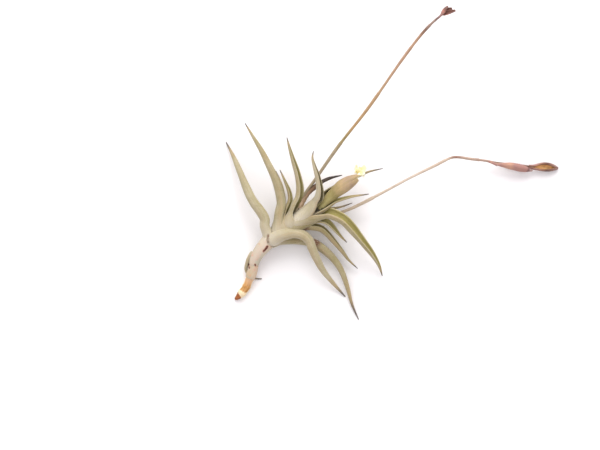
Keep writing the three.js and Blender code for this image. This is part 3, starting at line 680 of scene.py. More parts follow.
def leaf_look(settings):
    """Silvery felt outside, olive in the hollow, a pale sheath and a grey-brown dry tip."""
    look = Look("leaf_felt")
    inside, run, across, length, felt = look.all_stored("inside", "run", "across", "length", "felt")
    from_root = run * length
    to_tip = (1 - run) * length / look.stored("dry")
    patches, speckle = look.grain(260.0), look.grain(2600.0, detail=2.0)
    stripes = streaks(look, 9.0, 0.1)

    outside = leaf_outside(look, settings, patches, speckle, stripes)
    hollow = leaf_hollow(look, settings, speckle, stripes, from_root)
    skin = look.mix(inside, outside, hollow)
    rim = look.step(look.maths("ABSOLUTE", across), 0.88, 1.0, 0.0, 0.35)
    skin = look.mix(rim, skin, settings.rim)
    pale = look.step(from_root + patches * 3.0, 13.0, 4.0)
    skin = look.mix(pale * felt, skin, settings.sheath)
    # Brown marks: bruised spots and cracks, with painted shadow lines where one leaf or sheath laps
    # another.
    skin = look.mix(look.stored("stain_and_shade") * look.step(patches, 0.3, 0.55), skin, settings.stain_and_shade)
    skin = look.mix(look.step(to_tip + patches * 0.6, 2.6, 0.9, 0.0, 0.7), skin, settings.tan)
    skin = look.mix(look.step(to_tip + patches * 0.5, 1.35, 0.5), skin, settings.tip)

    height = speckle * 0.5 + streaks(look, 16.0, 0.2, 3.0) * 0.8 + look.grain(900.0) * 0.3
    roughness = look.step(speckle, 0.2, 0.8, 0.62, 0.82)
    return look.finish(skin, roughness, look.bump(height, 0.12, 0.6),
                       **light_through(0.12, (0.9, 0.8, 0.35), 0.6),
                       Specular_IOR_Level=0.3, Sheen_Weight=0.25, Sheen_Roughness=0.5)


def scale_look(settings):
    """The leaves' felt of tiny shield-shaped scales."""
    look = Look("felt_scales")
    tone = look.grain(700.0)
    colour = look.mix(look.step(tone, 0.3, 0.7, 0.25, 0.7), settings.silver, settings.tan)
    return look.finish(colour, look.step(tone, 0.3, 0.7, 0.6, 0.85), Specular_IOR_Level=0.2)


def paper_look(settings):
    """Papery sheath remains: smooth cream with faint fibres, flushed pink, with dark cracks that are partly
    painted shadow along a sheath's rim.
    """
    look = Look("dry_paper")
    run, inside = look.all_stored("run", "inside")
    fibres = streaks(look, 14.0, 0.25)
    patches = look.grain(420.0, detail=4.0)
    broad = look.grain(170.0, detail=2.0)
    colour = look.mix(look.step(broad + fibres * 0.3, 0.5, 0.8), settings.cream, settings.grey)
    flush = look.step(look.stored("across") + (broad - 0.5) * 2.5, -0.2, 0.7, 0.0, 0.8)
    colour = look.mix(flush, colour, settings.pink)
    rusty = look.stored("rusty") * look.step(fibres + patches * 0.6, 0.62, 0.95)
    colour = look.mix(rusty, colour, settings.rust)
    colour = look.mix(inside * 0.5, colour, settings.torn)
    # Crack marks, partly painted shadow along a sheath's rim: a pinkish border round a dark line.
    rough_stain_and_shade = look.stored("stain_and_shade") + (look.grain(650.0) - 0.5) * 2.6
    colour = look.mix(look.step(rough_stain_and_shade, 0.0, 0.7, 0.0, 0.55), colour, settings.bruised)
    colour = look.mix(look.step(rough_stain_and_shade, 0.4, 1.2), colour, settings.torn)
    height = fibres * 0.5 + look.grain(1500.0) * 0.3
    return look.finish(colour, look.step(patches, 0.2, 0.8, 0.7, 0.9), look.bump(height, 0.2, 0.7),
                       **light_through(0.1, (0.8, 0.6, 0.4), 0.5))


def stem_look(settings):
    """The bare stem: a rusty cut end, a cream band, then golden bark that pales under the sheaths."""
    look = Look("stem_bark")
    mm, turned = look.stored("run") * look.stored("length"), look.stored("across") + 0.5
    fibres = streaks(look, 9.0, 0.3)
    patches = look.grain(500.0, detail=4.0)
    uneven = (patches - 0.5) * 1.6 + (fibres - 0.5) * 1.0
    # Painted light and shade along the fibres: orange bark in the light, brown painted shade in the
    # grooves.
    bark = look.mix(look.step(fibres + patches * 0.4, 0.6, 0.9), settings.orange, settings.brown)
    flank = look.maths("ABSOLUTE", turned)
    bark = look.mix(look.step(flank + patches * 0.3, 0.42, 0.58, 0.0, 0.85), bark, settings.cream)
    bark = look.mix(look.step(mm + uneven * 2.0, 6.5, 10.0, 0.0, 0.6), bark, settings.flush)
    colour = look.mix(look.step(mm, 24.0, 30.0), bark, settings.green)
    colour = look.mix(look.step(mm + uneven - turned * 1.7, 4.4, 3.9), colour, settings.cream)
    wood = look.mix(look.step(fibres, 0.4, 0.7), settings.rust, settings.dark)
    wood = look.mix(look.step(turned + patches * 0.3, -0.05, -0.25), wood, settings.weathered)
    colour = look.mix(look.step(mm + uneven * 0.6 + turned, 2.3, 1.9), colour, wood)
    height = fibres * 0.9 + patches * 0.6
    return look.finish(colour, look.step(patches, 0.3, 0.7, 0.6, 0.85), look.bump(height, 0.3, 0.8),
                       **light_through(0.06, (0.8, 0.5, 0.3), 0.6))


FIBRE_SHADE = srgb(92, 66, 48)  # what the darkest fibres of a stalk are multiplied by


def stalk_look(name, stops):
    """A dry stalk: stops give its colour along it, and fibres vary it."""
    look = Look(name)
    run = look.stored("run")
    fibres = streaks(look, 5.0, 0.35)
    patches = look.grain(380.0)
    colour = look.ramp(stops, run + (patches - 0.5) * 0.05)
    colour = look.mix(look.step(fibres, 0.4, 0.8, 0.0, 0.35), colour, FIBRE_SHADE, "MULTIPLY")
    height = fibres + patches * 0.4
    return look.finish(colour, look.step(patches, 0.3, 0.7, 0.45, 0.65), look.bump(height, 0.15, 0.6),
                       **light_through(0.05, (0.7, 0.5, 0.3), 0.4))


def pod_look(name, outside_stops, inner, rim, dark):
    """A dry pod: colours along its outside, another for its lining, and darker rims."""
    look = Look(name)
    run, inside, across = look.all_stored("run", "inside", "across")
    fibres = streaks(look, 8.0, 0.5)
    patches = look.grain(520.0, detail=4.0)
    colour = look.ramp(outside_stops, run + (patches - 0.5) * 0.08)
    colour = look.mix(look.step(fibres, 0.4, 0.75, 0.0, 0.5), colour, dark)
    lining = look.mix(look.step(patches + fibres * 0.5, 0.55, 1.0, 0.0, 0.6), inner, rim)
    colour = look.mix(inside, colour, lining)
    edge = look.step(look.maths("ABSOLUTE", across) + patches * 0.12, 0.86, 0.98)
    colour = look.mix(edge * inside * 0.8, colour, rim)
    height = fibres + patches * 0.5
    return look.finish(colour, look.step(patches, 0.3, 0.7, 0.42, 0.62), look.bump(height, 0.2, 0.7),
                       **light_through(0.08, (0.9, 0.6, 0.3), 0.6))


def bract_look(settings):
    """The spike's bracts: olive at the base, tan and pinkish towards the tip, with fine ribs."""
    look = Look("bract_skin")
    run, inside = look.all_stored("run", "inside")
    ribs = streaks(look, 12.0, 0.1)
    patches = look.grain(420.0)
    stops = [(0.0, settings.base), (0.42, settings.olive), (0.6, settings.tan), (0.8, settings.pink),
             (1.0, settings.tan)]
    colour = look.ramp(stops, run + (patches - 0.5) * 0.35)
    colour = look.mix(look.step(ribs, 0.45, 0.7, 0.0, 0.45), colour, settings.olive)
    colour = look.mix(inside * 0.7, colour, settings.lining)
    return look.finish(colour, 0.62, look.bump(ribs + patches * 0.3, 0.18, 0.7),
                       **light_through(0.15, (0.9, 0.8, 0.3), 0.6))


def petal_look(settings):
    """Thin pale-yellow petals, paler at the edge and deeper in the throat."""
    look = Look("petal_skin")
    run, inside = look.all_stored("run", "inside")
    veins = streaks(look, 9.0, 0.2)
    colour = look.mix(look.step(run + veins * 0.2, 0.15, 0.75), settings.throat, settings.petal)
    colour = look.mix(look.step(run, 0.8, 1.0, 0.0, 0.6), colour, settings.edge)
    colour = look.mix(inside * 0.2, colour, settings.throat)
    return look.finish(colour, 0.55, look.bump(veins, 0.15, 0.6),
                       **light_through(0.4, (1.0, 0.9, 0.4), 1.0))


def withered_look(settings):
    """A shrivelled leaf: red-brown at its foot, near black at its tip."""
    look = Look("withered_skin")
    run = look.stored("run")
    wrinkles = streaks(look, 9.0, 0.4)
    patches = look.grain(600.0, detail=4.0)
    stops = [(0.0, settings.foot), (0.38, settings.red_brown), (0.62, settings.dark), (1.0, settings.black)]
    colour = look.ramp(stops, run + (patches - 0.5) * 0.25)
    colour = look.mix(look.step(wrinkles, 0.4, 0.75, 0.0, 0.6), colour, settings.black)
    return look.finish(colour, look.step(patches, 0.2, 0.8, 0.5, 0.8),
                       look.bump(wrinkles + patches * 0.5, 0.4, 0.9))


# ---------------------------------------------------------------- geometry nodes

SCATTER_INPUTS = {
    "Geometry": "Geometry", "Density": "Float", "Radius": "Float", "Height": "Float", "Smallest": "Float",
    "Largest": "Float", "Tilt": "Float", "Sides": "Int", "Seed": "Int", "Material": "Material",
}


def scatter_tree():
    """Scatters small cones over a surface, which are the scales of the leaves' felt."""
    tree = bpy.data.node_groups.new("scatter_cones", "GeometryNodeTree")
    for name, kind in SCATTER_INPUTS.items():
        tree.interface.new_socket(name, in_out="INPUT", socket_type="NodeSocket" + kind)
    tree.interface.new_socket("Geometry", in_out="OUTPUT", socket_type="NodeSocketGeometry")

    def node(kind, settings=None, sockets=None):
        return add_node(tree, kind, settings, sockets)

    given = node("NodeGroupInput").outputs
    cover = node("GeometryNodeInputNamedAttribute", {"data_type": "FLOAT"}, {"Name": "cover"})
    dense = node("ShaderNodeMath", {"operation": "MULTIPLY"},
                 {0: given["Density"], 1: cover.outputs["Attribute"]})
    points = node("GeometryNodeDistributePointsOnFaces", {},
                  {"Mesh": given["Geometry"], "Density": dense.outputs[0], "Seed": given["Seed"]})
    cone = node("GeometryNodeMeshCone", {"fill_type": "NGON"},
                {"Vertices": given["Sides"], "Radius Bottom": given["Radius"], "Depth": given["Height"]})
    size = node("FunctionNodeRandomValue", {"data_type": "FLOAT"},
                {2: given["Smallest"], 3: given["Largest"], "Seed": given["Seed"]})
    low = node("ShaderNodeMath", {"operation": "MULTIPLY"}, {0: given["Tilt"], 1: -1.0})
    least = node("ShaderNodeCombineXYZ", {}, {0: low.outputs[0], 1: low.outputs[0], 2: 0.0})
    most = node("ShaderNodeCombineXYZ", {}, {0: given["Tilt"], 1: given["Tilt"], 2: 2 * math.pi})
    lean = node("FunctionNodeRandomValue", {"data_type": "FLOAT_VECTOR"},
                {0: least.outputs[0], 1: most.outputs[0], "Seed": given["Seed"]})
    turned = node("FunctionNodeRotateRotation", {"rotation_space": "LOCAL"},
                  {"Rotation": points.outputs["Rotation"], "Rotate By": lean.outputs[0]})
    spread = node("GeometryNodeInstanceOnPoints", {},
                  {"Points": points.outputs["Points"], "Instance": cone.outputs["Mesh"],
                   "Rotation": turned.outputs[0], "Scale": size.outputs[1]})
    real = node("GeometryNodeRealizeInstances", {}, {"Geometry": spread.outputs[0]})
    coated = node("GeometryNodeSetMaterial", {},
                  {"Geometry": real.outputs[0], "Material": given["Material"]})
    node("NodeGroupOutput", {}, {"Geometry": coated.outputs[0]})
    return tree


COVER_VALUES = ("run", "inside", "length", "felt", "dry")  # what a cover can be worked out from


def ground_of(name, pieces, cover):
    """One mesh of copies of the pieces, with the share of the density that cover gives at each point."""
    points, faces, shares = [], [], []
    for piece in pieces:
        mesh, base = piece.data, len(points)
        points.extend(v.co[:] for v in mesh.vertices)
        faces.extend([base + k for k in polygon.vertices] for polygon in mesh.polygons)
        stored = {}
        for value in COVER_VALUES:
            stored[value] = np.zeros(len(mesh.vertices), np.float32)
            mesh.attributes[value].data.foreach_get("value", stored[value])
        shares.append(cover(stored))
    mesh = bpy.data.meshes.new(name)
    mesh.from_pydata(points, [], faces)
    attribute = mesh.attributes.new("cover", "FLOAT", "POINT")
    attribute.data.foreach_set("value", np.concatenate(shares).astype(np.float32))
    return mesh


def lift_from_table(mesh):
    """Raises the points that would lie in the table."""
    spots = np.zeros(len(mesh.vertices) * 3, np.float32)
    mesh.vertices.foreach_get("co", spots)
    spots[2::3] = np.maximum(spots[2::3], TABLE_CLEARANCE * MM)
    mesh.vertices.foreach_set("co", spots)


def scatter(name, pieces, cover, slot, inputs):
    """A piece of small cones over copies of other pieces. cover gives the share of the density at each
    point from its stored values, and inputs the modifier's own."""
    ground = placed(name + "_ground", ground_of(name + "_ground", pieces, cover))
    modifier = ground.modifiers.new("Scatter", "NODES")
    modifier.node_group = bpy.data.node_groups.get("scatter_cones") or scatter_tree()
    for socket in modifier.node_group.interface.items_tree:
        if socket.in_out == "INPUT" and socket.name in inputs:
            modifier[socket.identifier] = inputs[socket.name]
    ground.update_tag()
    evaluated = ground.evaluated_get(bpy.context.evaluated_depsgraph_get())
    made = bpy.data.meshes.new_from_object(evaluated)
    made.name = name
    bpy.data.objects.remove(ground)
    lift_from_table(made)
    return piece_of(name, made, slot)


# ---------------------------------------------------------------- settings

def shade_property(name, description, colour):
    return FloatVectorProperty(name=name, description=description, default=colour, size=4,
                               subtype="COLOR", min=0.0, max=1.0)


def size_property(name, description, millimetres):
    return FloatProperty(name=name, description=description, default=millimetres * MM, unit="LENGTH")


class AirPlantLeaves(bpy.types.PropertyGroup):
    """Sizes and colours of the leaves."""

    thickness: size_property("Thickness", "Thickness at the middle of a blade", 0.8)
    tip_thickness: size_property("Tip thickness", "Thickness at a blade's tip", 0.1)
    sheath_thickness: size_property("Sheath thickness", "Thickness where it clasps the stem", 0.5)
    tip_radius: size_property("Tip radius", "Radius of the channel at the tip", 0.05)
    rib_height: size_property("Rib height", "How far the fine ribs stand out", 0.025)
    waviness: FloatProperty(
        name="Waviness", description="How uneven the blades grow, as a share", default=0.06,
        subtype="FACTOR")
    stations: IntProperty(name="Stations", description="Sections along a blade", default=110)
    across: IntProperty(name="Across", description="Strips across one face of a blade", default=26)
    silver: shade_property("Silver", "Felt of scales", srgb(206, 197, 172))
    green: shade_property("Green", "Skin between the scales", srgb(142, 131, 84))
    tan: shade_property("Tan", "Weathered skin", srgb(172, 148, 110))
    bright: shade_property("Bright hollow", "Inside of a leaf in the light", srgb(158, 148, 82))
    # Dark hollow: painted shade, the olive of a leaf's hollow where it lies in shade.
    shade: shade_property("Dark hollow", "Inside of an old leaf", srgb(88, 76, 36))
    # Throat: painted shade deep in a leaf's hollow by its foot.
    throat: shade_property("Throat", "Inside of a leaf by its foot", srgb(70, 60, 26))
    rim: shade_property("Rim", "Edge of a blade", srgb(206, 196, 164))
    sheath: shade_property("Sheath", "Pale foot of a leaf", srgb(214, 205, 186))
    tip: shade_property("Tip", "Dry tip of a blade", srgb(104, 95, 86))
    # Brown of the leaves' marks: dry bruised spots and cracks, and painted shadow lines where one part laps
    # another.
    stain_and_shade: shade_property("Stain", "A bruise", srgb(112, 74, 54))


class AirPlantFelt(bpy.types.PropertyGroup):
    """The scales on the leaves."""

    density: FloatProperty(
        name="Density", description="Scales on a square millimetre of leaf", default=8.0)
    radius: size_property("Radius", "Radius of a scale", 0.08)
    height: size_property("Height", "How far a scale stands up", 0.014)
    seed: IntProperty(name="Seed", description="Draw of the scales' places", default=7)


class AirPlantStem(bpy.types.PropertyGroup):
    """The bare stem."""

    scar_pitch: size_property("Scar pitch", "Between the ring scars of shed leaves", 3.2)
    scar_height: size_property("Scar height", "How far a scar stands out", 0.16)
    orange: shade_property("Orange", "Bark in the light", srgb(208, 156, 94))
    # Brown: painted shade of the bark's grooves, beside the lit orange above.
    brown: shade_property("Brown", "Bark in the grooves", srgb(176, 118, 48))
    cream: shade_property("Cream", "Bark's margins and the band by the cut", srgb(244, 224, 184))
    flush: shade_property("Flush", "Young bark below the sheaths", srgb(226, 192, 162))
    rust: shade_property("Rust", "The cut end", srgb(192, 112, 50))
    dark: shade_property("Dark", "Fibres of the cut end", srgb(112, 60, 34))
    weathered: shade_property("Weathered", "Grey side of the cut end", srgb(160, 140, 116))
    green: shade_property("Green", "The living upper end", srgb(160, 150, 104))
    slant: size_property("Slant", "How far the cut runs back along the top", 0.8)


class AirPlantPaper(bpy.types.PropertyGroup):
    """The papery sheath remains."""

    thickness: size_property("Thickness", "Thickness of the paper", 0.4)
    tear: size_property("Tear", "How ragged the torn edge is", 0.5)
    cream: shade_property("Cream", "Fresh paper", srgb(204, 192, 172))
    grey: shade_property("Grey", "Felted paper", srgb(184, 180, 158))
    pink: shade_property("Pink", "Flushed paper", srgb(214, 194, 176))
    bruised: shade_property("Bruised", "Round a crack", srgb(214, 150, 122))
    rust: shade_property("Rust", "Weathered paper near the cut end", srgb(214, 158, 92))
    # Torn: the dark lining, and the dark line of the crack marks, which along a sheath's rim is painted
    # shadow.
    torn: shade_property("Torn", "Cracks and lining", srgb(90, 44, 30))


class AirPlantStalks(bpy.types.PropertyGroup):
    """The two old flower stalks and their pods."""

    ridge: size_property("Ridge", "Depth of the stalks' fine ridges", 0.03)
    pod_wall: size_property("Pod wall", "Thickness of a split pod's wall", 0.5)
    amber: shade_property("Amber", "Lining of the open pod", srgb(255, 206, 140))
    mauve: shade_property("Mauve", "Outside of the pods", srgb(170, 124, 114))
    rose: shade_property("Rose", "Foot of the pods", srgb(196, 148, 128))
    dark: shade_property("Dark", "Dark brown of rims and old lobes", srgb(96, 60, 50))


class AirPlantSpike(bpy.types.PropertyGroup):
    """The fresh spike with its flower."""

    bract_wall: size_property("Bract wall", "Thickness of a bract", 0.5)
    petal_wall: size_property("Petal wall", "Thickness of a petal", 0.3)
    base: shade_property("Base", "Foot of a bract", srgb(178, 168, 114))
    olive: shade_property("Olive", "Green of a bract", srgb(148, 134, 82))
    tan: shade_property("Tan", "Drying end of a bract", srgb(188, 162, 120))
    pink: shade_property("Pink", "Flush of a bract", srgb(168, 142, 118))
    lining: shade_property("Lining", "Inside of a bract", srgb(236, 222, 150))
    petal: shade_property("Petal", "Pale yellow", srgb(253, 246, 206))
    edge: shade_property("Edge", "Rim of a petal", srgb(255, 253, 236))
    throat: shade_property("Throat", "Deeper yellow", srgb(240, 222, 146))


class AirPlantWithered(bpy.types.PropertyGroup):
    """The withered leaf."""

    thickness: size_property("Thickness", "Thickness of the dead leaf", 0.5)
    foot: shade_property("Foot", "Where it clasps the stalk", srgb(204, 176, 144))
    red_brown: shade_property("Red brown", "Its lower half", srgb(152, 118, 90))
    dark: shade_property("Dark", "Its upper half", srgb(98, 84, 74))
    black: shade_property("Black", "Its tip and folds", srgb(44, 34, 32))


class AirPlantStage(bpy.types.PropertyGroup):
    """Camera, lights and floor."""

    view_width: size_property("View width", "What the picture shows of the table", 212.8)
    distance: size_property("Distance", "From the plant to the camera", 1400)
    key: FloatProperty(name="Key", description="Power of the main light, in watts", default=6.2)
    fill: FloatProperty(name="Fill", description="Strength of the light from all round", default=0.78)
    floor: shade_property("Floor", "The table", srgb(247, 246, 247))


# ---------------------------------------------------------------- pieces

class LeafForm:
    """A leaf's route, and its section at each share of it: a sheath round the stem opens into a blade."""

    def __init__(self, name, spec, settings):
        self.spec, self.settings = spec, settings
        clasping = [STEM_ROUTE.at((spec["node"] + share * spec["sheath"]) / STEM_ROUTE.length)
                    for share in (0, 0.5, 1)]
        self.route = Route(clasping + spec["blade"])
        self.start = spec["sheath"] / self.route.length
        self.thickness, self.tip_thickness = settings.thickness / MM, settings.tip_thickness / MM
        self.sheath_thickness, self.tip_radius = settings.sheath_thickness / MM, settings.tip_radius / MM
        self.seed = random.Random(name).uniform(0, 90)
        side = spec["side"] if "side" in spec else self.side_of_blade()
        at_blade, at_tip = spec["facing"]
        self.inwards = side + 180
        self.turn = (at_blade - self.inwards + 180) % 360 - 180
        self.twist = at_tip - at_blade

    def side_of_blade(self):
        """The angle round the stem at which the blade starts."""
        first = np.array(self.spec["blade"][0])
        share = nearest_on_stem(first)[0] / STEM_ROUTE.length
        return angle_round(STEM_ROUTE.tangent(share), first - STEM_ROUTE.at(share))

    def clasp(self, share):
        """(radius of the sheath, how far the blade has opened from it)"""
        node = self.spec["node"]
        distance, away = nearest_on_stem(self.route.at(share))
        snug = stem_radius(node) + SNUG
        clear = lerp(snug, snug + SHEATH_ROOM, smoothstep(share * self.route.length, 0, SNUG_LENGTH))
        hold = clear + SHEATH_SPREAD * clamp(distance - node, 0, SPREAD_END * self.spec["sheath"])
        return hold, smoothstep(away, OPENING[0] * hold, OPENING[1] * hold)

    def size(self, share):
        """How much of its base's width the blade still has."""
        return 1 - clamp((share - self.start) / (1 - self.start)) ** self.spec.get("taper", TAPER)

    def uneven(self, share, place):
        waviness = self.settings.waviness
        return 1 + waviness * wave(share * self.route.length * UNEVEN_PITCH, self.seed, place)

    def radius(self, share):
        hold, opened = self.clasp(share)
        base = (self.spec["width"] - self.thickness) / 2
        blade = lerp(self.tip_radius, base, self.size(share)) * self.uneven(share, 1)
        return lerp(hold, blade, opened)

    def curl(self, share):
        blade = self.spec["curl"] * self.uneven(share, 2)
        return lerp(self.spec.get("wrap", WRAP), blade, self.clasp(share)[1])

    def thick(self, share):
        blade = lerp(self.tip_thickness, self.thickness, math.sqrt(self.size(share)))
        return lerp(self.sheath_thickness, blade, self.clasp(share)[1])

    def facing(self, share):
        return self.inwards + self.turn * self.clasp(share)[1] + self.twist * share


def fading(away, radius):
    """1 by the middle of a brown mark, painted shadow among them, 0 from FADE_END of its radii on."""
    return np.clip(FADE_END - away / radius, 0, 1)


def cracked_and_shaded(points):
    """How much each point lies in a dark mark of the dry sheaths, a crack that along a sheath's rim is
    partly painted shadow, from 0 to 1.
    """
    share = np.zeros(len(points))
    for start, end, half_width in CRACKS_AND_SHADOW_LINES:
        start, way = np.array(start), np.array(end) - np.array(start)
        offset = points[:, :2] - start
        spot = np.clip(offset @ way / (way @ way), 0, 1)
        away = np.linalg.norm(offset - spot[:, None] * way, axis=1)
        share = np.maximum(share, fading(away, half_width))
    return share


class AIRPLANT_OT_leaves(bpy.types.Operator):
    """Grow the channelled leaves, one piece each, in place of the solids"""

    bl_idname = "airplant.leaves"
    bl_label = "Leaves"

    RIBS = 9  # fine ribs on the outside of a blade

    def execute(self, context):
        settings = context.scene.airplant_leaves
        material = leaf_look(settings)
        for name, spec in LEAVES.items():
            form, shell = LeafForm(name, spec, settings), Shell()
            gutter(shell, form.route, settings.stations, settings.across, form.radius, form.curl,
                   form.thick, form.facing, ribs=settings.rib_height / MM, ribs_across=self.RIBS)
            points = np.array(shell.points)
            # Crack marks of the dry sheaths where they touch this leaf, partly painted shadow.
            stain_and_shade = cracked_and_shaded(points)
            # Brown spots: dry bruised tissue partly in painted shade, and a painted shadow line.
            if "bruise_and_shade" in spec:
                away = np.linalg.norm(points - spec["bruise_and_shade"], axis=1)
                stain_and_shade = np.maximum(stain_and_shade, fading(away, BRUISE_AND_SHADE_RADIUS))
            shell.values["stain_and_shade"] = stain_and_shade.tolist()
            shell.fill("felt", spec["felt"])
            shell.fill("inner", spec["inner"])
            shell.fill("dry", spec["dry"])
            shell.fill("seed", random.Random(name).uniform(0, 40))
            shell.piece("fine_" + name, material, "leaf", name)
        return {"FINISHED"}


class AIRPLANT_OT_felt(bpy.types.Operator):
    """Scatter the silvery scales over the leaves"""

    bl_idname = "airplant.felt"
    bl_label = "Felt of scales"

    PIECES = {
        "felt_left_rank": ("leaf_low_left", "leaf_mid_left", "leaf_mid_left_small", "leaf_high_left"),
        "felt_right_rank": ("leaf_low_right_over", "leaf_low_right_under", "leaf_mid_right_1"),
        "felt_upper_leaves": ("leaf_mid_right_2", "leaf_high_right", "leaf_front", "leaf_inner_right"),
        "felt_small_leaves": ("leaf_inner_back", "leaf_inner_low", "leaf_under_left", "leaf_old_hooked"),
    }
    IN_HOLLOW = 0.15  # share of the scales that grow in a leaf's hollow

    def execute(self, context):
        settings = context.scene.airplant_felt

        def cover(stored):
            """None on the dry tip, and few in the hollow."""
            to_tip = (1 - stored["run"]) * stored["length"]
            bare = np.clip((to_tip - 0.5 * stored["dry"]) / stored["dry"], 0, 1)
            return bare * np.where(stored["inside"] > 0.5, self.IN_HOLLOW, 0.5 + 0.5 * stored["felt"])

        inputs = {
            "Material": scale_look(context.scene.airplant_leaves),
            "Density": settings.density / MM ** 2, "Radius": settings.radius, "Height": settings.height,
            "Smallest": 0.6, "Largest": 1.25, "Tilt": 0.18, "Sides": 6,
        }
        for number, (name, leaves) in enumerate(self.PIECES.items()):
            pieces = [bpy.data.objects["fine_" + leaf] for leaf in leaves]
            scatter(name, pieces, cover, "leaf", {**inputs, "Seed": settings.seed + number})
        return {"FINISHED"}


class AIRPLANT_OT_withered(bpy.types.Operator):
    """Shrivel the dead leaf round the foot of the tall stalk"""

    bl_idname = "airplant.withered"
    bl_label = "Withered leaf"

    def execute(self, context):
        settings = context.scene.airplant_withered
        leaf, wall, shell = WITHERED, settings.thickness / MM, Shell()

        def size(share):
            return 1 - share ** 3

        def radius(share):
            return lerp(*leaf["radius"], size(share)) * (1 + leaf["crumple"] * wave(share * 14, 3.1))

        def curl(share):
            return leaf["curl"] * (1 + 0.12 * wave(share * 9, 5.2))

        def thick(share):
            return lerp(leaf["tip_wall"], wall, math.sqrt(size(share)))

        def facing(share):
            return lerp(*leaf["facing"], share) + leaf["twist"] * wave(share * 7, 8.4)

        gutter(shell, Route(leaf["route"]), stations=90, across=24, radius=radius, curl=curl, thick=thick,
               facing=facing, ribs=0.05, ribs_across=6)
        shell.piece("fine_withered_leaf", withered_look(settings), "withered", "withered_leaf")
        return {"FINISHED"}


class AIRPLANT_OT_stem(bpy.types.Operator):
    """Turn the bare stem with its ring scars and cut end"""

    bl_idname = "airplant.stem"
    bl_label = "Stem"

    GROOVE = 0.05  # depth of the bark's grooves
    RAGGED = 0.12  # how uneven the stem is by its cut end
    SLANT_END = 5  # along this length the slant of the cut dies out

    def execute(self, context):
        settings = context.scene.airplant_stem
        pitch, rise, slant = settings.scar_pitch / MM, settings.scar_height / MM, settings.slant / MM
        length = STEM_ROUTE.length

        def radius_at(share, angle):
            distance, turn = share * length, math.radians(angle)
            scar = rise * max(0, math.cos(2 * math.pi * distance / pitch)) ** 2
            groove = self.GROOVE * wave(math.cos(turn) * 4, math.sin(turn) * 4, distance * 0.35)
            ragged = self.RAGGED * wave(angle * 0.05, distance * 0.9) * clamp(1 - distance / 2)
            return stem_radius(distance) + scar + groove + ragged

        def lean(share, angle):
            upper = 0.5 + 0.5 * math.sin(math.radians(angle))
            return slant * upper * clamp(1 - share * length / self.SLANT_END)

        shell = Shell()
        shaft(shell, STEM_ROUTE, stations=260, sides=40, radius_at=radius_at, lean=lean)
        shell.piece("fine_stem", stem_look(settings), "stem", "stem")
        return {"FINISHED"}


class AIRPLANT_OT_dry_sheaths(bpy.types.Operator):
    """Wrap the torn papery sheaths round the stem"""

    bl_idname = "airplant.dry_sheaths"
    bl_label = "Dry sheaths"

    FOOT_WALL = 0.3  # thickness at the foot, as a share of the paper's

    def wrap(self, spec, tear, wall):
        """The shell of one sheath, from its foot to its torn edge."""
        node, length, seed = spec["node"], spec["length"], spec["side"] * 0.1
        route = Route([STEM_ROUTE.at((node + share * length) / STEM_ROUTE.length)
                       for share in (0, 0.25, 0.5, 0.75, 1)])

        def thick(share):
            return wall * lerp(self.FOOT_WALL, 1, clamp(share / DRY_FOOT))

        def radius(share):
            return stem_radius(node) + DRY_ROOM + thick(share) / 2 + spec["spread"] * length * share

        def curl(share):
            return spec["wrap"] * lerp(1, spec["narrowing"], share) * (1 + 0.03 * wave(share * 6, seed))

        def lean(share, turn):
            ragged = wave(turn * 6, seed) + 0.5 * wave(turn * 19, seed)
            point = spec["point"] * max(0.0, 1 - abs(turn - spec["point_at"])) ** 0.8
            return share ** 3 * (tear * spec["tear"] * ragged + point)

        shell = Shell()
        gutter(shell, route, stations=70, across=60, radius=radius, curl=curl, thick=thick,
               facing=lambda share: spec["side"] + 180, rim=0.6, lean=lean, ribs=0.015, ribs_across=14)
        return shell

    def execute(self, context):
        settings = context.scene.airplant_paper
        material = paper_look(settings)
        for name, spec in DRY_SHEATHS.items():
            shell = self.wrap(spec, settings.tear / MM, settings.thickness / MM)
            shell.fill("rusty", spec["rusty"])
            # Crack marks, partly painted shadow along a sheath's rim.
            shell.values["stain_and_shade"] = cracked_and_shaded(np.array(shell.points)).tolist()
            shell.piece("fine_" + name, material, "dry", name)
        return {"FINISHED"}


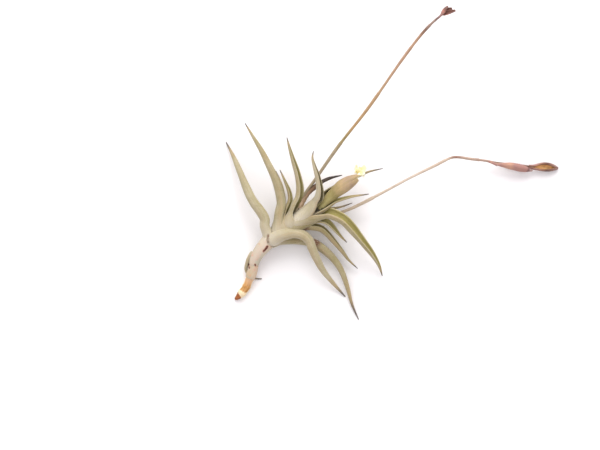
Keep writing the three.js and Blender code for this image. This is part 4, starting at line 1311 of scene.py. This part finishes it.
class AIRPLANT_OT_stalks(bpy.types.Operator):
    """Draw the two thin old flower stalks with their swollen nodes"""

    bl_idname = "airplant.stalks"
    bl_label = "Flower stalks"

    RIDGES = 5  # fine ridges along a stalk
    COLOURS = {
        "stalk_tall": [
            (0.0, srgb(158, 144, 118)), (0.3, srgb(160, 144, 116)), (0.36, srgb(150, 132, 84)),
            (0.42, srgb(172, 138, 92)), (0.6, srgb(176, 144, 110)), (0.74, srgb(176, 142, 116)),
            (0.86, srgb(172, 136, 108)), (0.905, srgb(120, 88, 72)), (0.93, srgb(150, 124, 110)),
            (0.955, srgb(152, 128, 116)), (0.965, srgb(104, 76, 66)), (0.975, srgb(158, 126, 122)),
            (1.0, srgb(142, 108, 104)),
        ],
        "stalk_bent": [
            (0.0, srgb(170, 150, 122)), (0.25, srgb(200, 182, 160)), (0.45, srgb(208, 192, 176)),
            (0.62, srgb(196, 174, 154)), (0.655, srgb(150, 112, 96)), (0.7, srgb(188, 162, 144)),
            (0.8, srgb(176, 146, 128)), (0.87, srgb(140, 116, 92)), (1.0, srgb(112, 78, 64)),
        ],
    }

    def draw_out(self, spec, ridge):
        """The shell of one stalk. The sheath of a bract thickens it below each knot."""
        route, shell = Route(spec["route"] + spec["join"]), Shell()
        thick, thin = spec["radii"]

        def radius_at(share, angle):
            distance = share * route.length
            below = min((k - distance for k in spec["knots"] if k > distance - KNOT_PAST), default=99)
            ending = clamp((below + KNOT_PAST) / KNOT_FALL)
            sheath = BRACT_RISE * ending * clamp(1 - below / BRACT_LENGTH)
            ridges = ridge * math.cos(math.radians(angle) * self.RIDGES)
            return lerp(thick, thin, share) + sheath + ridges + 0.03 * wave(distance * 0.5, 2.7)

        shaft(shell, route, stations=260, sides=20, radius_at=radius_at)
        return shell

    def execute(self, context):
        settings = context.scene.airplant_stalks
        for name, spec in STALKS.items():
            shell = self.draw_out(spec, settings.ridge / MM)
            material = stalk_look("skin_" + name, self.COLOURS[name])
            shell.piece("fine_" + name, material, "stalk", name)
        return {"FINISHED"}


class AIRPLANT_OT_pods(bpy.types.Operator):
    """Shape the closed pod, the open pod and the split pod of the tall stalk"""

    bl_idname = "airplant.pods"
    bl_label = "Seed pods"

    def closed(self, settings):
        pod, shell = CLOSED_POD, Shell()

        def radius_at(share, angle):
            seam = max(0, math.cos(math.radians(angle * pod["seams"])))
            strength = 1 if share > pod["smooth_foot"] else 0.4
            ribs = pod["rib"] * math.cos(math.radians(angle * pod["ribs"])) * strength
            return smoothly(pod["profile"], share) * (1 - pod["furrow"] * seam + ribs)

        def pedicel_radius(share, angle):
            return lerp(*pod["pedicel_radius"], share)

        shaft(shell, Route(pod["route"]), stations=110, sides=60, radius_at=radius_at)
        shaft(shell, Route(pod["pedicel"]), stations=16, sides=16, radius_at=pedicel_radius)
        mauve, rose = settings.mauve, settings.rose
        stops = [(0.0, rose), (0.12, mauve), (0.25, srgb(188, 142, 122)), (0.4, srgb(192, 146, 122)),
                 (0.5, mauve), (0.84, mauve), (0.89, srgb(112, 74, 70)), (0.93, srgb(176, 146, 140))]
        material = pod_look("pod_closed_skin", stops, settings.amber, settings.dark, srgb(140, 104, 104))
        shell.piece("fine_pod_closed", material, "pod", "pod_closed")

    def opened(self, settings):
        pod, shell = OPEN_POD, Shell()
        route = Route(pod["route"])
        wall = settings.pod_wall / MM
        for number, angle in enumerate(pod["valves"]):
            low = number == 0
            gutter(shell, route, stations=60, across=18,
                   radius=lambda share: smoothly(pod["profile"], share) * (pod["low_depth"] if low else 1),
                   curl=lambda share: pod["low_curl"] if low else smoothly(pod["curl"], share),
                   thick=lambda share: wall, facing=lambda share: angle + 180, ribs=0.02, ribs_across=5)
        stops = [(0.0, srgb(132, 92, 80)), (0.25, settings.mauve), (0.45, srgb(150, 104, 84)),
                 (0.6, settings.dark), (0.78, srgb(140, 100, 84)), (1.0, srgb(168, 140, 136))]
        material = pod_look("pod_open_skin", stops, settings.amber, settings.dark, settings.dark)
        shell.piece("fine_pod_open", material, "pod", "pod_open")

    def split(self, settings):
        pod, shell = TALL_POD, Shell()
        small, large = pod["lobe_radius"]
        wall = settings.pod_wall / MM

        def radius(share):
            return lerp(small, large, math.sin(math.pi * lerp(pod["lobe_start"], 1, share)))

        shaft(shell, Route(pod["foot"]), stations=12, sides=24,
            radius_at=lambda share, angle: pod["foot_radius"])
        for points, angle in pod["lobes"]:
            gutter(shell, Route(points), stations=40, across=18, radius=radius,
                   curl=lambda share: pod["curl"], thick=lambda share: wall, facing=lambda share: angle,
                   ribs=0.02, ribs_across=4)
        stops = [(0.0, srgb(170, 130, 120)), (0.3, srgb(188, 126, 112)), (0.6, srgb(114, 78, 68)),
                 (1.0, srgb(136, 102, 94))]
        material = pod_look("pod_tall_skin", stops, srgb(120, 74, 60), settings.dark, settings.dark)
        shell.piece("fine_pod_tall", material, "pod", "pod_tall")

    def execute(self, context):
        settings = context.scene.airplant_stalks
        self.closed(settings)
        self.opened(settings)
        self.split(settings)
        return {"FINISHED"}


class AIRPLANT_OT_spike(bpy.types.Operator):
    """Fold the two bracts of the fresh spike and open its flower"""

    bl_idname = "airplant.spike"
    bl_label = "Spike and flower"

    def bracts(self, settings):
        whole, material = Route(SPIKE["route"]), bract_look(settings)
        wall = settings.bract_wall / MM
        for name, (facing, start, end, lap) in SPIKE["bracts"].items():
            shell = Shell()

            def radius(share):
                body = smoothly(SPIKE["profile"], lerp(start, end, share))
                return body + lap * (1 + 0.4 * wave(share * 5, facing))

            gutter(shell, whole.part(start, end), stations=80, across=28, radius=radius,
                   curl=lambda share: along(SPIKE["closing"], share),
                   thick=lambda share: wall * (1 - 0.6 * share ** 3), facing=lambda share: facing,
                   ribs=0.04, ribs_across=8)
            shell.piece("fine_" + name, material, "bract", name)

    def flower(self, settings):
        tube, shell = Route(FLOWER["tube"]), Shell()
        wall = settings.petal_wall / MM
        heart = tube.at(1) + tube.tangent(1) * FLOWER["cup"] + UP * FLOWER["lift"]
        shaft(shell, tube, stations=30, sides=24, radius_at=lambda share, angle: FLOWER["tube_radius"])
        bud = Route(SPIKE["route"]).part(*SPIKE["bud"])
        shaft(shell, bud, stations=30, sides=24,
            radius_at=lambda share, angle: lerp(*SPIKE["bud_radius"], share))
        for number, points in enumerate(FLOWER["petals"]):
            route = Route(points)

            def radius(share):
                return along(FLOWER["blade_radius"], share) * (1 + 0.1 * wave(share * 8, number * 5.1))

            def curl(share):
                return along(FLOWER["blade_curl"], share) * (1 + 0.1 * wave(share * 12, number * 3.3))

            gutter(shell, route, stations=50, across=22, radius=radius, curl=curl, thick=lambda share: wall,
                   facing=lambda share: angle_round(route.tangent(share), heart - route.at(share)),
                   ribs=0.02, ribs_across=5)
        shell.piece("fine_flower", petal_look(settings), "petal", "flower")

    def execute(self, context):
        settings = context.scene.airplant_spike
        self.bracts(settings)
        self.flower(settings)
        return {"FINISHED"}


class AIRPLANT_OT_stage(bpy.types.Operator):
    """Lay the pale table, hang the soft lights and set the camera straight above"""

    bl_idname = "airplant.stage"
    bl_label = "Stage"

    VIEW_MIDDLE = (22.0, 25.5)  # the spot under the camera, from the cut end of the stem
    FOCUS_HEIGHT = 8.0  # the height at which the view width is measured
    SENSOR = 36.0  # width in millimetres
    FLOOR_SIZE = 6.0  # in metres
    # Share of the key's power, size, azimuth and elevation, distance, colour.
    LAMPS = {
        "key": (1.0, 0.6, 2, 42, 0.9, (1.0, 0.985, 0.96)),
        "soft_top": (0.5, 1.2, -60, 70, 1.3, (0.97, 0.98, 1.0)),
    }
    SKY = (1.0, 0.965, 0.985, 1.0)

    def floor(self, settings):
        look = Look("table_top")
        shade = look.mix(look.step(look.grain(3.0), 0.3, 0.7, 0.0, 0.03), settings.floor,
                         srgb(236, 230, 240))
        material = look.finish(shade, 0.6, Specular_IOR_Level=0.2)
        mesh = bpy.data.meshes.new("table_top")
        half = self.FLOOR_SIZE / 2
        mesh.from_pydata([(-half, -half, 0), (half, -half, 0), (half, half, 0), (-half, half, 0)], [],
                         [(0, 1, 2, 3)])
        mesh.materials.append(material)
        placed("table_top", mesh)

    def lamp(self, name, power, size, azimuth, elevation, distance, colour):
        light = bpy.data.lights.new(name, "AREA")
        light.energy, light.size, light.color = power, size, colour
        lamp = placed(name, light)
        turn, rise = math.radians(azimuth), math.radians(elevation)
        way = Vector((math.sin(turn) * math.cos(rise), math.cos(turn) * math.cos(rise), math.sin(rise)))
        lamp.location = way * distance
        lamp.rotation_mode = "QUATERNION"
        lamp.rotation_quaternion = way.to_track_quat("Z", "Y")

    def sky(self, context, settings):
        world = bpy.data.worlds.new("studio")
        world.use_nodes = True
        ground = world.node_tree.nodes["Background"]
        ground.inputs["Color"].default_value = self.SKY
        ground.inputs["Strength"].default_value = settings.fill
        context.scene.world = world

    def camera(self, settings):
        data = bpy.data.cameras.new("camera")
        camera = placed("camera", data)
        x, y = (np.array([*self.VIEW_MIDDLE, 0.0]) - MIDDLE)[:2] * MM
        camera.location = (x, y, settings.distance + self.FOCUS_HEIGHT * MM)
        data.sensor_width = self.SENSOR
        data.lens = self.SENSOR * settings.distance / settings.view_width
        data.clip_start, data.clip_end = 0.01, 20.0
        bpy.context.scene.camera = camera

    def execute(self, context):
        settings = context.scene.airplant_stage
        self.floor(settings)
        self.camera(settings)
        for name, (power, *rest) in self.LAMPS.items():
            self.lamp(name, settings.key * power, *rest)
        self.sky(context, settings)
        context.scene.view_settings.view_transform = "Standard"
        return {"FINISHED"}


class AIRPLANT_PT_panel(bpy.types.Panel):
    """Lists the steps that dress the plant"""

    bl_idname = "AIRPLANT_PT_panel"
    bl_label = "Air Plant"
    bl_space_type = "VIEW_3D"
    bl_region_type = "UI"
    bl_category = "Air Plant"

    def draw(self, context):
        for operator in OPERATORS:
            self.layout.operator(operator.bl_idname)


GROUPS = {
    "airplant_leaves": AirPlantLeaves,
    "airplant_felt": AirPlantFelt,
    "airplant_stem": AirPlantStem,
    "airplant_paper": AirPlantPaper,
    "airplant_stalks": AirPlantStalks,
    "airplant_spike": AirPlantSpike,
    "airplant_withered": AirPlantWithered,
    "airplant_stage": AirPlantStage,
}
OPERATORS = (
    AIRPLANT_OT_stage, AIRPLANT_OT_stem, AIRPLANT_OT_leaves, AIRPLANT_OT_felt, AIRPLANT_OT_withered,
    AIRPLANT_OT_dry_sheaths, AIRPLANT_OT_stalks, AIRPLANT_OT_pods, AIRPLANT_OT_spike,
)
CLASSES = (*GROUPS.values(), *OPERATORS, AIRPLANT_PT_panel)


def register():
    for made in CLASSES:
        bpy.utils.register_class(made)
    for name, group in GROUPS.items():
        setattr(bpy.types.Scene, name, PointerProperty(type=group))


def unregister():
    for name in GROUPS:
        delattr(bpy.types.Scene, name)
    for made in reversed(CLASSES):
        bpy.utils.unregister_class(made)


def main():
    register()
    bpy.ops.airplant.stage()
    bpy.ops.airplant.stem()
    bpy.ops.airplant.leaves()
    bpy.ops.airplant.felt()
    bpy.ops.airplant.withered()
    bpy.ops.airplant.dry_sheaths()
    bpy.ops.airplant.stalks()
    bpy.ops.airplant.pods()
    bpy.ops.airplant.spike()


if __name__ == "__main__":
    main()
